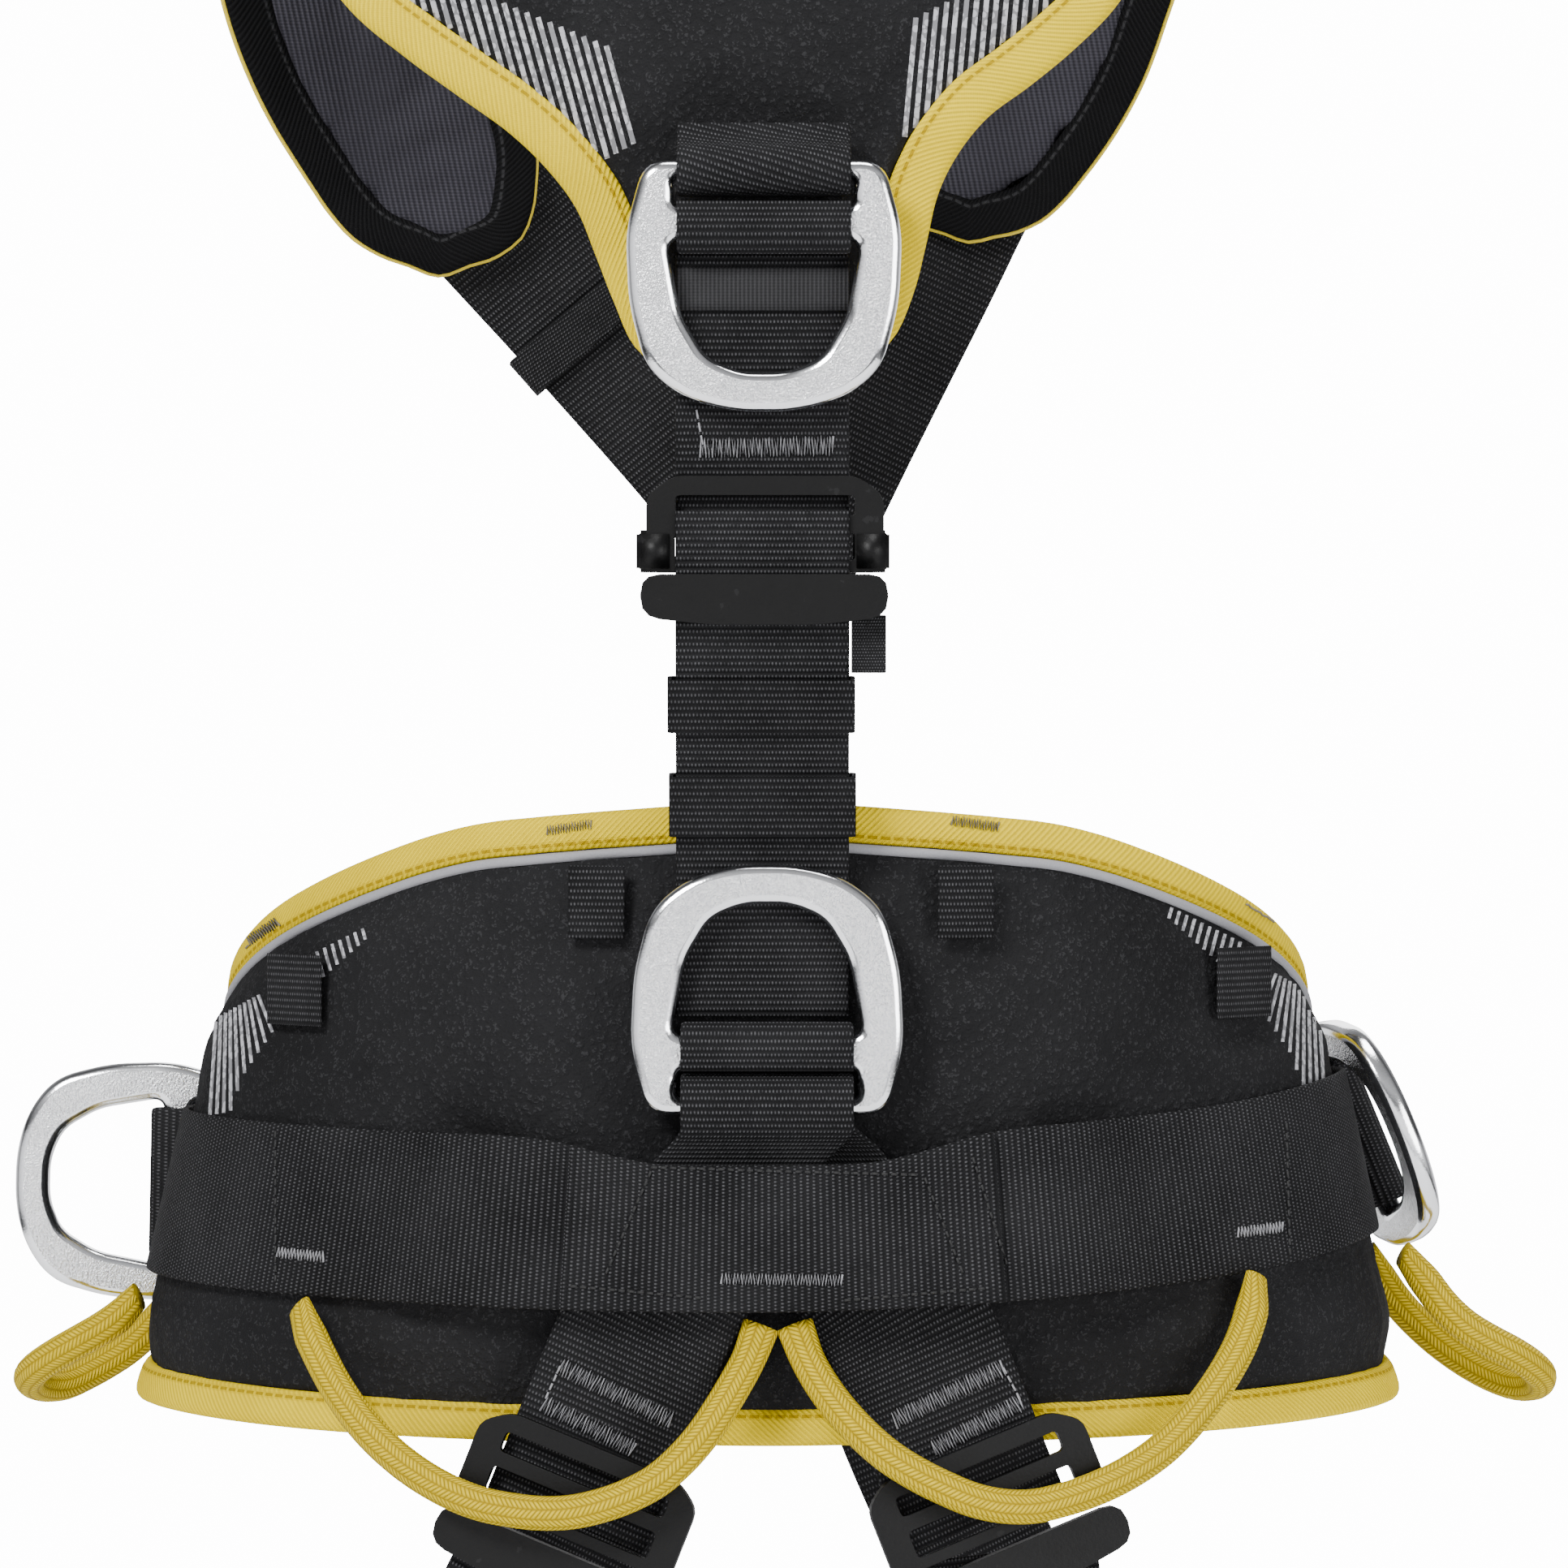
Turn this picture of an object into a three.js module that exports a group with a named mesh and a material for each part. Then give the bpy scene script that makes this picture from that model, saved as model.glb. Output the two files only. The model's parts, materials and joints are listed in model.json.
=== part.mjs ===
// Full-body safety harness with a padded work-positioning belt, seen as worn: +Z up, the wearer faces +Y,
// +X is the wearer's right-hand side. Millimetres. The pieces are laid out around the body axis, with z = 0
// at the mid height of the waist band; at the end they all move so that the origin is on the inner face of
// the vertical back strap.
import * as THREE from "three";

// ---------------------------------------------------------------- driving dimensions
const WEB_WIDTH = 45; // main webbing
const WEB_THICK = 1.8;
const GAP = 0.4; // clearance between neighbouring layers
const PAD_THICK = 14; // waist pad
const PAD_EDGE = 6.5; // pad thickness where a binding grips it
const YOKE_THICK = 9;
const YOKE_EDGE = 5.5;
const BINDING_THICK = 7.5;
const WAIST_BINDING = 10; // width of the yellow binding on the waist pad
const YOKE_BINDING = 13;
const SHOULDER_BINDING = 12;
const RING_WIDTH = 71;
const RING_LENGTH = 65;
const RING_THICK = 6.5;
const RING_REACH = 54.7; // inner edge of the D opening, from the flat bar
const BAR_LOW = 11.6; // crossbar of a D-ring, from the flat bar
const BAR_HIGH = 20.5;
const FLAT_BAR = 4.5;
const HINGE_AT = 2.25; // the flat bar's own axis
const GEAR_CORD = 9; // diameter of the braided gear-loop sheath
const BELT_FLARE = 0.24; // how much wider the belt gets per mm downwards at z = 0
const BELT_CURVE = 0.0009; // how the flare eases off upwards
const HIP_WIDTH = 149; // half-width of the body at z = 0
const CHEST_WIDTH = 185; // half-width of the upper body
const HIP_DEPTH = 104; // half-depth of the body at z = 0
const BACK_PLANE = -129; // inner face of the vertical back strap
const STRAP_X = -1.2; // the back strap hangs a little off the middle
const ORIGIN_Z = 195; // height of the origin on that face
const THIGH_X = 97;
const THIGH_RADIUS = 80;
const THIGH_Z = -228; // middle of the leg loops
const THIGH_TILT = 0.32; // rise per mm from the back of a leg loop to its front

const V = (x, y, z) => new THREE.Vector3(x, y, z);
const rad = THREE.MathUtils.degToRad;
const { lerp, clamp, smoothstep } = THREE.MathUtils;

// ---------------------------------------------------------------- materials
const finish = (color, roughness, metalness = 0) =>
  new THREE.MeshStandardMaterial({ color, roughness, metalness });
const webbing = finish(0x1b1b1d, 0.85);
const elastic = finish(0x2b2b30, 0.8);
const yellowTape = finish(0xf2cf0a, 0.7);
const blackTape = finish(0x151517, 0.8);
const padFabric = finish(0x2a2a2d, 0.92);
const lining = finish(0x45444f, 0.9);
const alloy = finish(0xc9ccd0, 0.3, 1);
const blackMetal = finish(0x17181a, 0.45, 0.7);
const braid = finish(0xd8c03c, 0.7);
const label = finish(0x202024, 0.75);

const harness = new THREE.Group();
harness.name = "harness";

function add(name, geometry, material) {
  const piece = new THREE.Mesh(geometry, material);
  piece.name = name;
  harness.add(piece);
  return piece;
}

// ---------------------------------------------------------------- lofting
// A closed body through rings of points; each end is a fan around the middle of its ring.
function loft(rings) {
  const n = rings[0].length;
  const points = rings.flat();
  const faces = [];
  for (let i = 0; i < rings.length - 1; i++) {
    const here = i * n;
    const next = here + n;
    for (let j = 0; j < n; j++) {
      const k = (j + 1) % n;
      faces.push(here + j, here + k, next + k);
      faces.push(here + j, next + k, next + j);
    }
  }
  const cap = (ring, start, flip) => {
    const middle = ring.reduce((sum, p) => sum.add(p), V(0, 0, 0)).divideScalar(n);
    const hub = points.length;
    points.push(middle);
    for (let j = 0; j < n; j++) {
      const a = start + j;
      const b = start + ((j + 1) % n);
      faces.push(hub, flip ? b : a, flip ? a : b);
    }
  };
  cap(rings[0], 0, true);
  cap(rings[rings.length - 1], (rings.length - 1) * n, false);
  let volume = 0;
  for (let f = 0; f < faces.length; f += 3) {
    const [a, b, c] = [points[faces[f]], points[faces[f + 1]], points[faces[f + 2]]];
    volume += a.dot(b.clone().cross(c));
  }
  if (volume < 0) faces.reverse();
  const geometry = new THREE.BufferGeometry();
  geometry.setAttribute("position", new THREE.Float32BufferAttribute(points.flatMap((p) => p.toArray()), 3));
  geometry.setIndex(faces);
  return geometry;
}

// Evenly spaced numbers from a to b, both included.
const steps = (a, b, count) => Array.from({ length: count + 1 }, (_, i) => lerp(a, b, i / count));

// A smooth function through [x, y] knots (monotone in x), flat beyond its ends.
function curve(knots) {
  const slopes = knots.map((k, i) => {
    const before = knots[Math.max(i - 1, 0)];
    const after = knots[Math.min(i + 1, knots.length - 1)];
    return (after[1] - before[1]) / (after[0] - before[0]);
  });
  return (x) => {
    const last = knots.length - 1;
    if (x <= knots[0][0]) return knots[0][1];
    if (x >= knots[last][0]) return knots[last][1];
    const i = knots.findIndex((k) => k[0] > x) - 1;
    const [x0, y0] = knots[i];
    const [x1, y1] = knots[i + 1];
    const h = x1 - x0;
    const t = (x - x0) / h;
    const rise = (y1 - y0) * t * t * (3 - 2 * t);
    return y0 + rise + h * (t * (1 - t) * (1 - t) * slopes[i] - t * t * (1 - t) * slopes[i + 1]);
  };
}

function squareSides(path, normals) {
  return path.map((p, i) => {
    const along = path[Math.min(i + 1, path.length - 1)].clone().sub(path[Math.max(i - 1, 0)]);
    return along.cross(normals[i]).normalize();
  });
}

// A strap with a flat section: path points on its inner face, the outward normal at each, its width. Given
// sides replace the directions across the strap, which otherwise stand square to its run.
function strap(path, normals, width = WEB_WIDTH, thick = WEB_THICK, sides = squareSides(path, normals)) {
  const rings = path.map((p, i) => {
    const side = sides[i].clone().multiplyScalar(width / 2);
    const up = normals[i].clone().normalize().multiplyScalar(thick);
    const left = p.clone().sub(side);
    const right = p.clone().add(side);
    return [left, right, right.clone().add(up), left.clone().add(up)];
  });
  return loft(rings);
}

// ---------------------------------------------------------------- the worn surfaces
// The body under the belt: an ellipse that widens downwards. angle 0 is the middle of the back, 90 the
// wearer's right side, in degrees; off is the distance outwards from the body.
function belt(angle, z, off) {
  const a = HIP_WIDTH - BELT_FLARE * z + BELT_CURVE * z * z;
  const slope = BELT_FLARE - 2 * BELT_CURVE * z;
  const [s, c] = [Math.sin(rad(angle)), Math.cos(rad(angle))];
  const normal = V(s / a, -c / HIP_DEPTH, (s * s * slope) / a).normalize();
  return { p: V(a * s, -HIP_DEPTH * c, z).addScaledVector(normal, off), n: normal };
}

// The belt angle at a sideways place x on the back half.
function beltAngle(x, z, off = PAD_THICK) {
  const a = HIP_WIDTH - BELT_FLARE * z + BELT_CURVE * z * z + off;
  return THREE.MathUtils.radToDeg(Math.asin(clamp(x / a, -1, 1)));
}

const beltAt = (x, z, off) => belt(beltAngle(x, z, off), z, off);

// The upper body from the back, over the shoulders, to the chest. u is the height on the back up to 400,
// then runs on over the shoulder (top at 480) and down the chest from 600.
const shellY = curve([
  [200, -116], [260, -117], [320, -110], [360, -98], [400, -78], [440, -44], [480, -4],
  [520, 36], [560, 66], [600, 84], [650, 94], [700, 98], [760, 99], [960, 102],
]);
const shellZ = curve([
  [200, 200], [260, 260], [320, 320], [360, 360], [400, 399], [440, 434], [480, 449],
  [520, 437], [560, 408], [600, 372], [650, 322], [700, 272], [760, 212], [960, 12],
]);
const SHOULDER_SLOPE = 0.26; // fall of the shoulder line per mm sideways
function shell(x, u, off) {
  const place = (sx, su) => {
    const fall = SHOULDER_SLOPE * Math.max(0, Math.abs(sx) - 45) * smoothstep(shellZ(su), 300, 440);
    return V(sx, shellY(su) * Math.sqrt(1 - (sx / CHEST_WIDTH) ** 2), shellZ(su) - fall);
  };
  const [du, dx] = [place(x, u + 1).sub(place(x, u - 1)), place(x + 1, u).sub(place(x - 1, u))];
  const normal = dx.cross(du).normalize();
  return { p: place(x, u).addScaledVector(normal, off), n: normal };
}

// ---------------------------------------------------------------- pads and bindings on a surface
// A smooth line through flat [a, b] points, resampled to count + 1 points that keep the points' pacing.
function smoothLine(points, count) {
  const line = new THREE.CatmullRomCurve3(points.map(([a, b]) => V(a, b, 0)));
  return steps(0, 1, count).map((t) => line.getPoint(t)).map((p) => [p.x, p.y]);
}

// The same for points with a third number, the offset from the surface.
function smoothOffsets(points, count) {
  const line = new THREE.CatmullRomCurve3(points.map((p) => V(...p)), false, "centripetal");
  return line.getSpacedPoints(count).map((p) => p.toArray());
}

// The line moved sideways by distance, to the left of its direction.
function inset(line, distance) {
  return line.map(([a, b], i) => {
    const [a0, b0] = line[Math.max(i - 1, 0)];
    const [a1, b1] = line[Math.min(i + 1, line.length - 1)];
    const length = Math.hypot(a1 - a0, b1 - b0);
    return [a - (distance * (b1 - b0)) / length, b + (distance * (a1 - a0)) / length];
  });
}

// A cushion between two edge lines on a surface: thin at its edges, full in the middle.
const ACROSS = [0, 0.1, 0.32, 0.68, 0.9, 1];
const FULLNESS = [0, 0.62, 1, 1, 0.62, 0];
function cushion(surface, edgeA, edgeB, thick, edge = PAD_EDGE) {
  const low = (thick - edge) / 3;
  const rings = edgeA.map(([a0, b0], i) => {
    const [a1, b1] = edgeB[i];
    const at = (k, off) => surface(lerp(a0, a1, ACROSS[k]), lerp(b0, b1, ACROSS[k]), off).p;
    const outer = ACROSS.map((_, k) => at(k, lerp(low + edge, thick, FULLNESS[k])));
    const inner = ACROSS.map((_, k) => at(k, lerp(low, 0, FULLNESS[k]))).reverse();
    return [...outer, ...inner];
  });
  return loft(rings);
}

// A flat tape between two edge lines on a surface, from offset low to offset high.
function tape(surface, edgeA, edgeB, low, high) {
  const rings = edgeA.map(([a0, b0], i) => {
    const [a1, b1] = edgeB[i];
    return [surface(a0, b0, low).p, surface(a1, b1, low).p, surface(a1, b1, high).p, surface(a0, b0, high).p];
  });
  return loft(rings);
}

// A webbing strap that follows a surface: a centre line of [x, z, offset], three points across.
const WEB_ACROSS = [-0.5, 0, 0.5];
function drapedStrap(surface, centre, width = WEB_WIDTH, thick = WEB_THICK) {
  const rings = centre.map(([x, z, off], i) => {
    const [x0, z0] = centre[Math.max(i - 1, 0)];
    const [x1, z1] = centre[Math.min(i + 1, centre.length - 1)];
    const length = Math.hypot(x1 - x0, z1 - z0);
    const side = [(z1 - z0) / length, -(x1 - x0) / length];
    const row = (lift) =>
      WEB_ACROSS.map((k) => surface(x + side[0] * width * k, z + side[1] * width * k, off + lift).p);
    return [...row(0), ...row(thick).reverse()];
  });
  return loft(rings);
}

// ---------------------------------------------------------------- metal parts
// A flat piece stood in the world: its local x runs along u, its local y along v, its thickness is centred
// on the origin given.
function stand(mesh, origin, u, v, thick) {
  const w = u.clone().cross(v).normalize();
  const basis = new THREE.Matrix4().makeBasis(u.clone().normalize(), w.clone().cross(u).normalize(), w);
  mesh.geometry.translate(0, 0, -thick / 2);
  mesh.quaternion.setFromRotationMatrix(basis);
  mesh.position.copy(origin);
}

// A closed outline: straight steps through its points, each corner eased by a curve of the given reach.
function roundedShape(points, reach, Kind = THREE.Shape) {
  const shape = new Kind();
  const n = points.length;
  points.forEach(([x, y], i) => {
    const [px, py] = points[(i + n - 1) % n];
    const [nx, ny] = points[(i + 1) % n];
    const before = Math.min(reach / Math.hypot(px - x, py - y), 0.5);
    const after = Math.min(reach / Math.hypot(nx - x, ny - y), 0.5);
    const start = [lerp(x, px, before), lerp(y, py, before)];
    if (i === 0) shape.moveTo(...start);
    else shape.lineTo(...start);
    shape.quadraticCurveTo(x, y, lerp(x, nx, after), lerp(y, ny, after));
  });
  shape.closePath();
  return shape;
}

const mirrored = (half) => [...half, ...half.map(([x, y]) => [-x, y]).reverse()];

// A forged D-ring: flat bar and slot for webbing, crossbar, and the wide D opening. Local x runs along the
// flat bar, local y from the flat bar to the bow.
function dRing(width, length) {
  const [sx, sy] = [width / RING_WIDTH, length / RING_LENGTH];
  const scaled = (points) => points.map(([x, y]) => [x * sx, y * sy]);
  const bow = mirrored([[31, 0], [35.8, 18], [34.9, 37], [30.5, 53.5], [20.5, 61.5], [8, 65]]);
  const body = roundedShape(scaled(bow), 6);
  body.holes.push(
    roundedShape(scaled(mirrored([[25, BAR_HIGH], [21.5, 40], [15, 51], [6, RING_REACH]])), 4, THREE.Path),
    roundedShape(scaled(mirrored([[23.4, FLAT_BAR], [23.4, BAR_LOW]])), 2, THREE.Path),
  );
  const settings = { depth: RING_THICK, bevelEnabled: false, curveSegments: 3 };
  return new THREE.ExtrudeGeometry(body, settings).translate(0, -HINGE_AT, 0);
}

// Webbing folded round the crossbar of a D-ring, in the ring's own frame: both legs run back past the slot
// to the height given, on either face of the ring.
function ringWrap(width, legEnd, scale = 1) {
  const face = RING_THICK / 2 + GAP;
  const top = BAR_HIGH * scale - HINGE_AT + GAP;
  const path = [[legEnd, 1], [top - 0.6, 1], [top, 0.9], [top, -0.9], [top - 0.6, -1], [legEnd, -1]];
  const points = path.map(([y, z]) => V(0, y, z * face));
  return strap(points, fallingNormals(points, -1), width);
}

// The two-part strap adjuster: a frame with two webbing slots, and the bar plate that hangs in its fold.
const FRAME_WIDE = 61.5;
const FRAME_HIGH = 25;
const FRAME_THICK = 3;
const PLATE_WIDE = 64;
const PLATE_HIGH = 12;
const PLATE_THICK = 4;

function buckleFrame() {
  const [x, y] = [FRAME_WIDE / 2, FRAME_HIGH / 2];
  const body = roundedShape(mirrored([[x, -y], [x, y - 5], [x - 7, y]]), 3);
  const slot = WEB_WIDTH / 2 + 0.8;
  body.holes.push(
    roundedShape(mirrored([[slot, -y + 3], [slot, -2]]), 1.5, THREE.Path),
    roundedShape(mirrored([[slot, 2], [slot, y - 5]]), 1.5, THREE.Path),
  );
  return new THREE.ExtrudeGeometry(body, { depth: FRAME_THICK, bevelEnabled: false, curveSegments: 3 });
}

function bucklePlate() {
  const [x, y] = [PLATE_WIDE / 2, PLATE_HIGH / 2];
  const body = roundedShape(mirrored([[14, -y - 1], [x, -y + 1], [x, y]]), 5);
  return new THREE.ExtrudeGeometry(body, { depth: PLATE_THICK, bevelEnabled: false, curveSegments: 3 });
}

// ---------------------------------------------------------------- waist pad and its bindings
const PAD_END = 104; // degrees from the middle of the back
const padTop = curve([
  [0, 112.5], [33, 106], [42, 101], [53, 93.5], [66, 84], [77, 75], [90, 64], [PAD_END, 51],
]);
const padBottom = curve([[0, -56.6], [40, -55.5], [70, -53.5], [90, -52], [PAD_END, -48]]);
const padAngles = steps(-PAD_END, PAD_END, 32);
const beltLine = (height, drop) => padAngles.map((angle) => [angle, height(Math.abs(angle)) + drop]);
const gripLow = (PAD_THICK - PAD_EDGE) / 3 - 0.5;
const gripHigh = gripLow + BINDING_THICK;

add(
  "waist_pad",
  cushion(
    belt,
    beltLine(padTop, -WAIST_BINDING - GAP),
    beltLine(padBottom, WAIST_BINDING + GAP),
    PAD_THICK,
  ),
  padFabric,
);
add(
  "waist_binding_top",
  tape(belt, beltLine(padTop, 0), beltLine(padTop, -WAIST_BINDING), gripLow, gripHigh),
  yellowTape,
);
add(
  "waist_binding_bottom",
  tape(belt, beltLine(padBottom, WAIST_BINDING), beltLine(padBottom, 0), gripLow, gripHigh),
  yellowTape,
);

// ---------------------------------------------------------------- waist band
const BAND_END = 150;
const ON_PAD = PAD_THICK + GAP; // offset of whatever lies straight on the pad
const OVER_RISERS = 24; // offset of the band where both leg risers run under it
const RISER_DIP = 7; // how far the risers push the band's top edge down
const ON_BODY = 2.4;
const bandHeight = curve([[-180, 6], [-150, 6], [-90, 3], [0, 2], [40, 6], [90, 14], [150, 6], [180, 6]]);
function bandOffset(angle) {
  const side = Math.min(Math.abs(angle), Math.abs(360 - angle));
  const overPad = lerp(OVER_RISERS, ON_PAD, smoothstep(side, 25, 42));
  return lerp(overPad, ON_BODY, smoothstep(side, PAD_END, PAD_END + 18));
}

// A band round the belt between two angles, lift above the waist band's own offset.
function hoop(from, to, count, lift = 0, width = WEB_WIDTH) {
  const rings = steps(from, to, count).map((angle) => {
    const z = bandHeight(angle > 180 ? angle - 360 : angle);
    const off = bandOffset(angle) + lift;
    const at = (dz, up) => belt(angle, z + dz, off + up).p;
    const top = width / 2 - RISER_DIP * (1 - smoothstep(Math.abs(angle), 8, 24));
    return [at(-width / 2, 0), at(top, 0), at(top, WEB_THICK), at(-width / 2, WEB_THICK)];
  });
  return loft(rings);
}

add("waist_band", hoop(-BAND_END, BAND_END, 60), webbing);
add("waist_centre_patch", hoop(-18, 21, 13, WEB_THICK + GAP), webbing);
add("front_band", hoop(BAND_END + 3, 360 - BAND_END - 3, 12), webbing);

// ---------------------------------------------------------------- rear waist D-ring, flipped up
const back = V(0, -1, 0);
const WAIST_RING_Z = 32.75; // its flat bar's axis
const WAIST_RING_Y = -HIP_DEPTH - ON_PAD - WEB_THICK - GAP - RING_THICK / 2;

const waistRing = add("waist_ring", dRing(RING_WIDTH, RING_LENGTH), alloy);
stand(waistRing, V(0, WAIST_RING_Y, WAIST_RING_Z), V(1, 0, 0), V(0, 0, 1), RING_THICK);
const waistWrap = add("waist_ring_wrap", ringWrap(WEB_WIDTH, 9.2), webbing);
stand(waistWrap, V(0, WAIST_RING_Y, WAIST_RING_Z), V(1, 0, 0), V(0, 0, 1), 0);

// The normals of a path that runs round a bar lying along X; a falling path faces backwards for face 1 and
// forwards for face -1.
function fallingNormals(path, face = 1) {
  return path.map((p, i) => {
    const along = path[Math.min(i + 1, path.length - 1)].clone().sub(path[Math.max(i - 1, 0)]);
    return along.cross(V(face, 0, 0)).normalize();
  });
}

// A smooth 3-D line through points, with evenly spaced stations.
function smoothPath(points, count) {
  return new THREE.CatmullRomCurve3(points, false, "centripetal").getSpacedPoints(count);
}

// A leg riser: [x, z, offset] from the slot of the ring over its flat bar, under the band and down. It turns
// from lying across the bar to lying on the belt between the two heights.
const RISER_TURNS = [14, -4];
function riser(name, places) {
  const spots = places.map(([x, z, off]) => beltAt(x, z, off).p);
  const path = new THREE.CatmullRomCurve3(spots, false, "centripetal").getPoints((spots.length - 1) * 3);
  const round = fallingNormals(path);
  const normals = path.map((p, i) => {
    const lying = 1 - smoothstep(p.z, RISER_TURNS[1], RISER_TURNS[0]);
    return round[i].lerp(beltAt(p.x, p.z, 0).n, lying).normalize();
  });
  const square = squareSides(path, normals);
  const sides = path.map((p, i) => {
    const lying = 1 - smoothstep(p.z, RISER_TURNS[1], RISER_TURNS[0]);
    return V(-1, 0, 0).lerp(square[i], lying).normalize();
  });
  add(name, strap(path, normals, WEB_WIDTH, WEB_THICK, sides), webbing);
}
riser("leg_riser_right", [
  [0, 37.1, 17.5], [0, 37.1, 20.6], [0, 36.2, 23.1], [0, 34.2, 24.4], [0, 31.3, 24.4], [0, 28.7, 23.1],
  [2.4, 26.2, 19.9], [7, 22, 16.9], [13, 13, 15], [20.5, 0, 14.9], [35.5, -22, 14.9], [46, -45, 14.9],
  [53.5, -64, 14.8], [58.5, -76, 14.8],
]);
riser("leg_riser_left", [
  [0, 39.4, 17.5], [0, 39.4, 21], [0, 38, 24.8], [0, 35, 26.7], [0, 31, 26.7], [0, 27.5, 25.1],
  [-1.6, 24.6, 22.4], [-7, 19, 20.2], [-13, 11, 18.6], [-19.5, 0, 18.3], [-31, -22, 17.2], [-41, -45, 14.9],
  [-49, -64, 14.8], [-54, -76, 14.8],
]);

// ---------------------------------------------------------------- small sewn tabs below the top binding
const TAB_WIDTH = 15;
const TAB_HIGH = 19;
function beltTab(name, x, z) {
  const line = steps(z, z - TAB_HIGH, 3).map((height) => [x, height, ON_PAD]);
  add(name, drapedStrap(beltAt, line, TAB_WIDTH, 1.5), webbing);
}
beltTab("belt_tab_left_outer", -127, 70);
beltTab("belt_tab_left_inner", -45.5, 95);
beltTab("belt_tab_right_inner", 53, 95);
beltTab("belt_tab_right_outer", 128, 72);

// ---------------------------------------------------------------- side D-rings on webbing flaps
const SIDE_RING_WIDTH = 66;
const SIDE_RING_LENGTH = 60;
const SIDE_WEB = 41; // the flap webbing, gathered to fit the smaller ring
function sideRing(side, origin, up, out) {
  const ring = add("side_ring_" + side, dRing(SIDE_RING_WIDTH, SIDE_RING_LENGTH), alloy);
  stand(ring, origin, up, out, RING_THICK);
  const flap = add("side_flap_" + side, ringWrap(SIDE_WEB, -4.5, SIDE_RING_LENGTH / RING_LENGTH), webbing);
  stand(flap, origin, up, out, 0);
}
const leftLean = V(0.02, 0, 1).normalize();
sideRing("left", V(-151.8, 53.6, 5.5), leftLean, V(-1, 0, 0.02));
const rightLean = V(-0.38, 0, 0.92).normalize();
const rightOut = V(0.24, -0.955, 0.1);
const rightSquare = rightOut.addScaledVector(rightLean, -rightOut.dot(rightLean));
sideRing("right", V(160, 53, 18), rightLean, rightSquare);

// ---------------------------------------------------------------- gear loops: stiff braided cords
const ROUND = 8;
function cord(name, points, count) {
  const path = smoothPath(points, count);
  let side = V(0, 1, 0);
  const rings = path.map((p, i) => {
    const along = path[Math.min(i + 1, count)].clone().sub(path[Math.max(i - 1, 0)]).normalize();
    side = side.addScaledVector(along, -side.dot(along)).normalize();
    const up = along.clone().cross(side);
    return steps(0, 360, ROUND).slice(0, ROUND).map((t) =>
      p.clone()
        .addScaledVector(side, (Math.cos(rad(t)) * GEAR_CORD) / 2)
        .addScaledVector(up, (Math.sin(rad(t)) * GEAR_CORD) / 2));
  });
  return add(name, loft(rings), braid);
}
const beltPoints = (places) => places.map(([x, z, off]) => beltAt(x, z, off).p);
cord("gear_loop_rear_left", beltPoints([
  [-126, -25, 19.3], [-122, -34, 20.5], [-116, -45, 22.5], [-107, -56, 25], [-95, -65, 27], [-81, -71, 29],
  [-68, -73, 30], [-56, -73, 30.5], [-43, -70, 30], [-30, -64, 28.5], [-19, -54, 26.5], [-11, -43, 23.5],
  [-4.6, -32, 22], [-2.1, -25.5, 21.5],
]), 22);
cord("gear_loop_rear_right", beltPoints([
  [8, -25.5, 21.5], [10, -31, 22.2], [16, -41, 24], [25, -51, 27], [35, -59, 29.5], [46, -65, 30.5],
  [58, -70, 31], [71, -72, 31], [84, -70, 30], [96, -66, 28], [108, -59, 25], [117, -50, 23], [125, -39, 21],
  [130, -28, 19.6], [132, -17.5, 19.3],
]), 22);
cord("gear_loop_side_left", [
  V(-172.5, -6, -24), V(-178, -5, -29.5), V(-187, -2, -35), V(-197, 4, -41), V(-202.5, 14, -46),
  V(-201, 24, -49), V(-195, 32, -49.5), V(-187, 38, -46), V(-178, 41, -40.5), V(-171, 43, -34),
  V(-165.5, 43, -26),
], 16);
cord("gear_loop_side_right", [
  V(174, -7, -12.5), V(179, -6, -19), V(184.5, -5, -26), V(192, -2, -32.5), V(202, 3, -38), V(210, 11, -43.5),
  V(212.5, 20, -47.5), V(208.5, 28, -49.5), V(199.6, 35, -47), V(189.5, 40, -41), V(181, 44, -34),
  V(173, 47, -25), V(167, 48.5, -14.5),
], 16);

// ---------------------------------------------------------------- leg riser adjusters
const LEG_LEAN = 22; // degrees from the vertical
const FRAME_LIFT = 19.4; // offset of the buckle frame's middle plane
const PLATE_LIFT = 20;
function legAdjuster(side, sign, frameX, plateX) {
  const square = (x, z, lift, turn) => {
    const at = beltAt(x, z, lift);
    const down = V(sign * Math.sin(rad(turn)), 0, -Math.cos(rad(turn)));
    const v = down.clone().negate().addScaledVector(at.n, down.dot(at.n)).normalize();
    return { origin: at.p, u: v.clone().cross(at.n).normalize(), v };
  };
  const frame = add("leg_buckle_frame_" + side, buckleFrame(), blackMetal);
  const a = square(frameX, -68, FRAME_LIFT, LEG_LEAN);
  stand(frame, a.origin, a.u, a.v, FRAME_THICK);
  const plate = add("leg_buckle_plate_" + side, bucklePlate(), blackMetal);
  const b = square(plateX, -88.5, PLATE_LIFT, LEG_LEAN);
  stand(plate, b.origin, b.u, b.v, PLATE_THICK);
}
legAdjuster("left", -1, -51, -59.5);
legAdjuster("right", 1, 59, 67.5);

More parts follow.
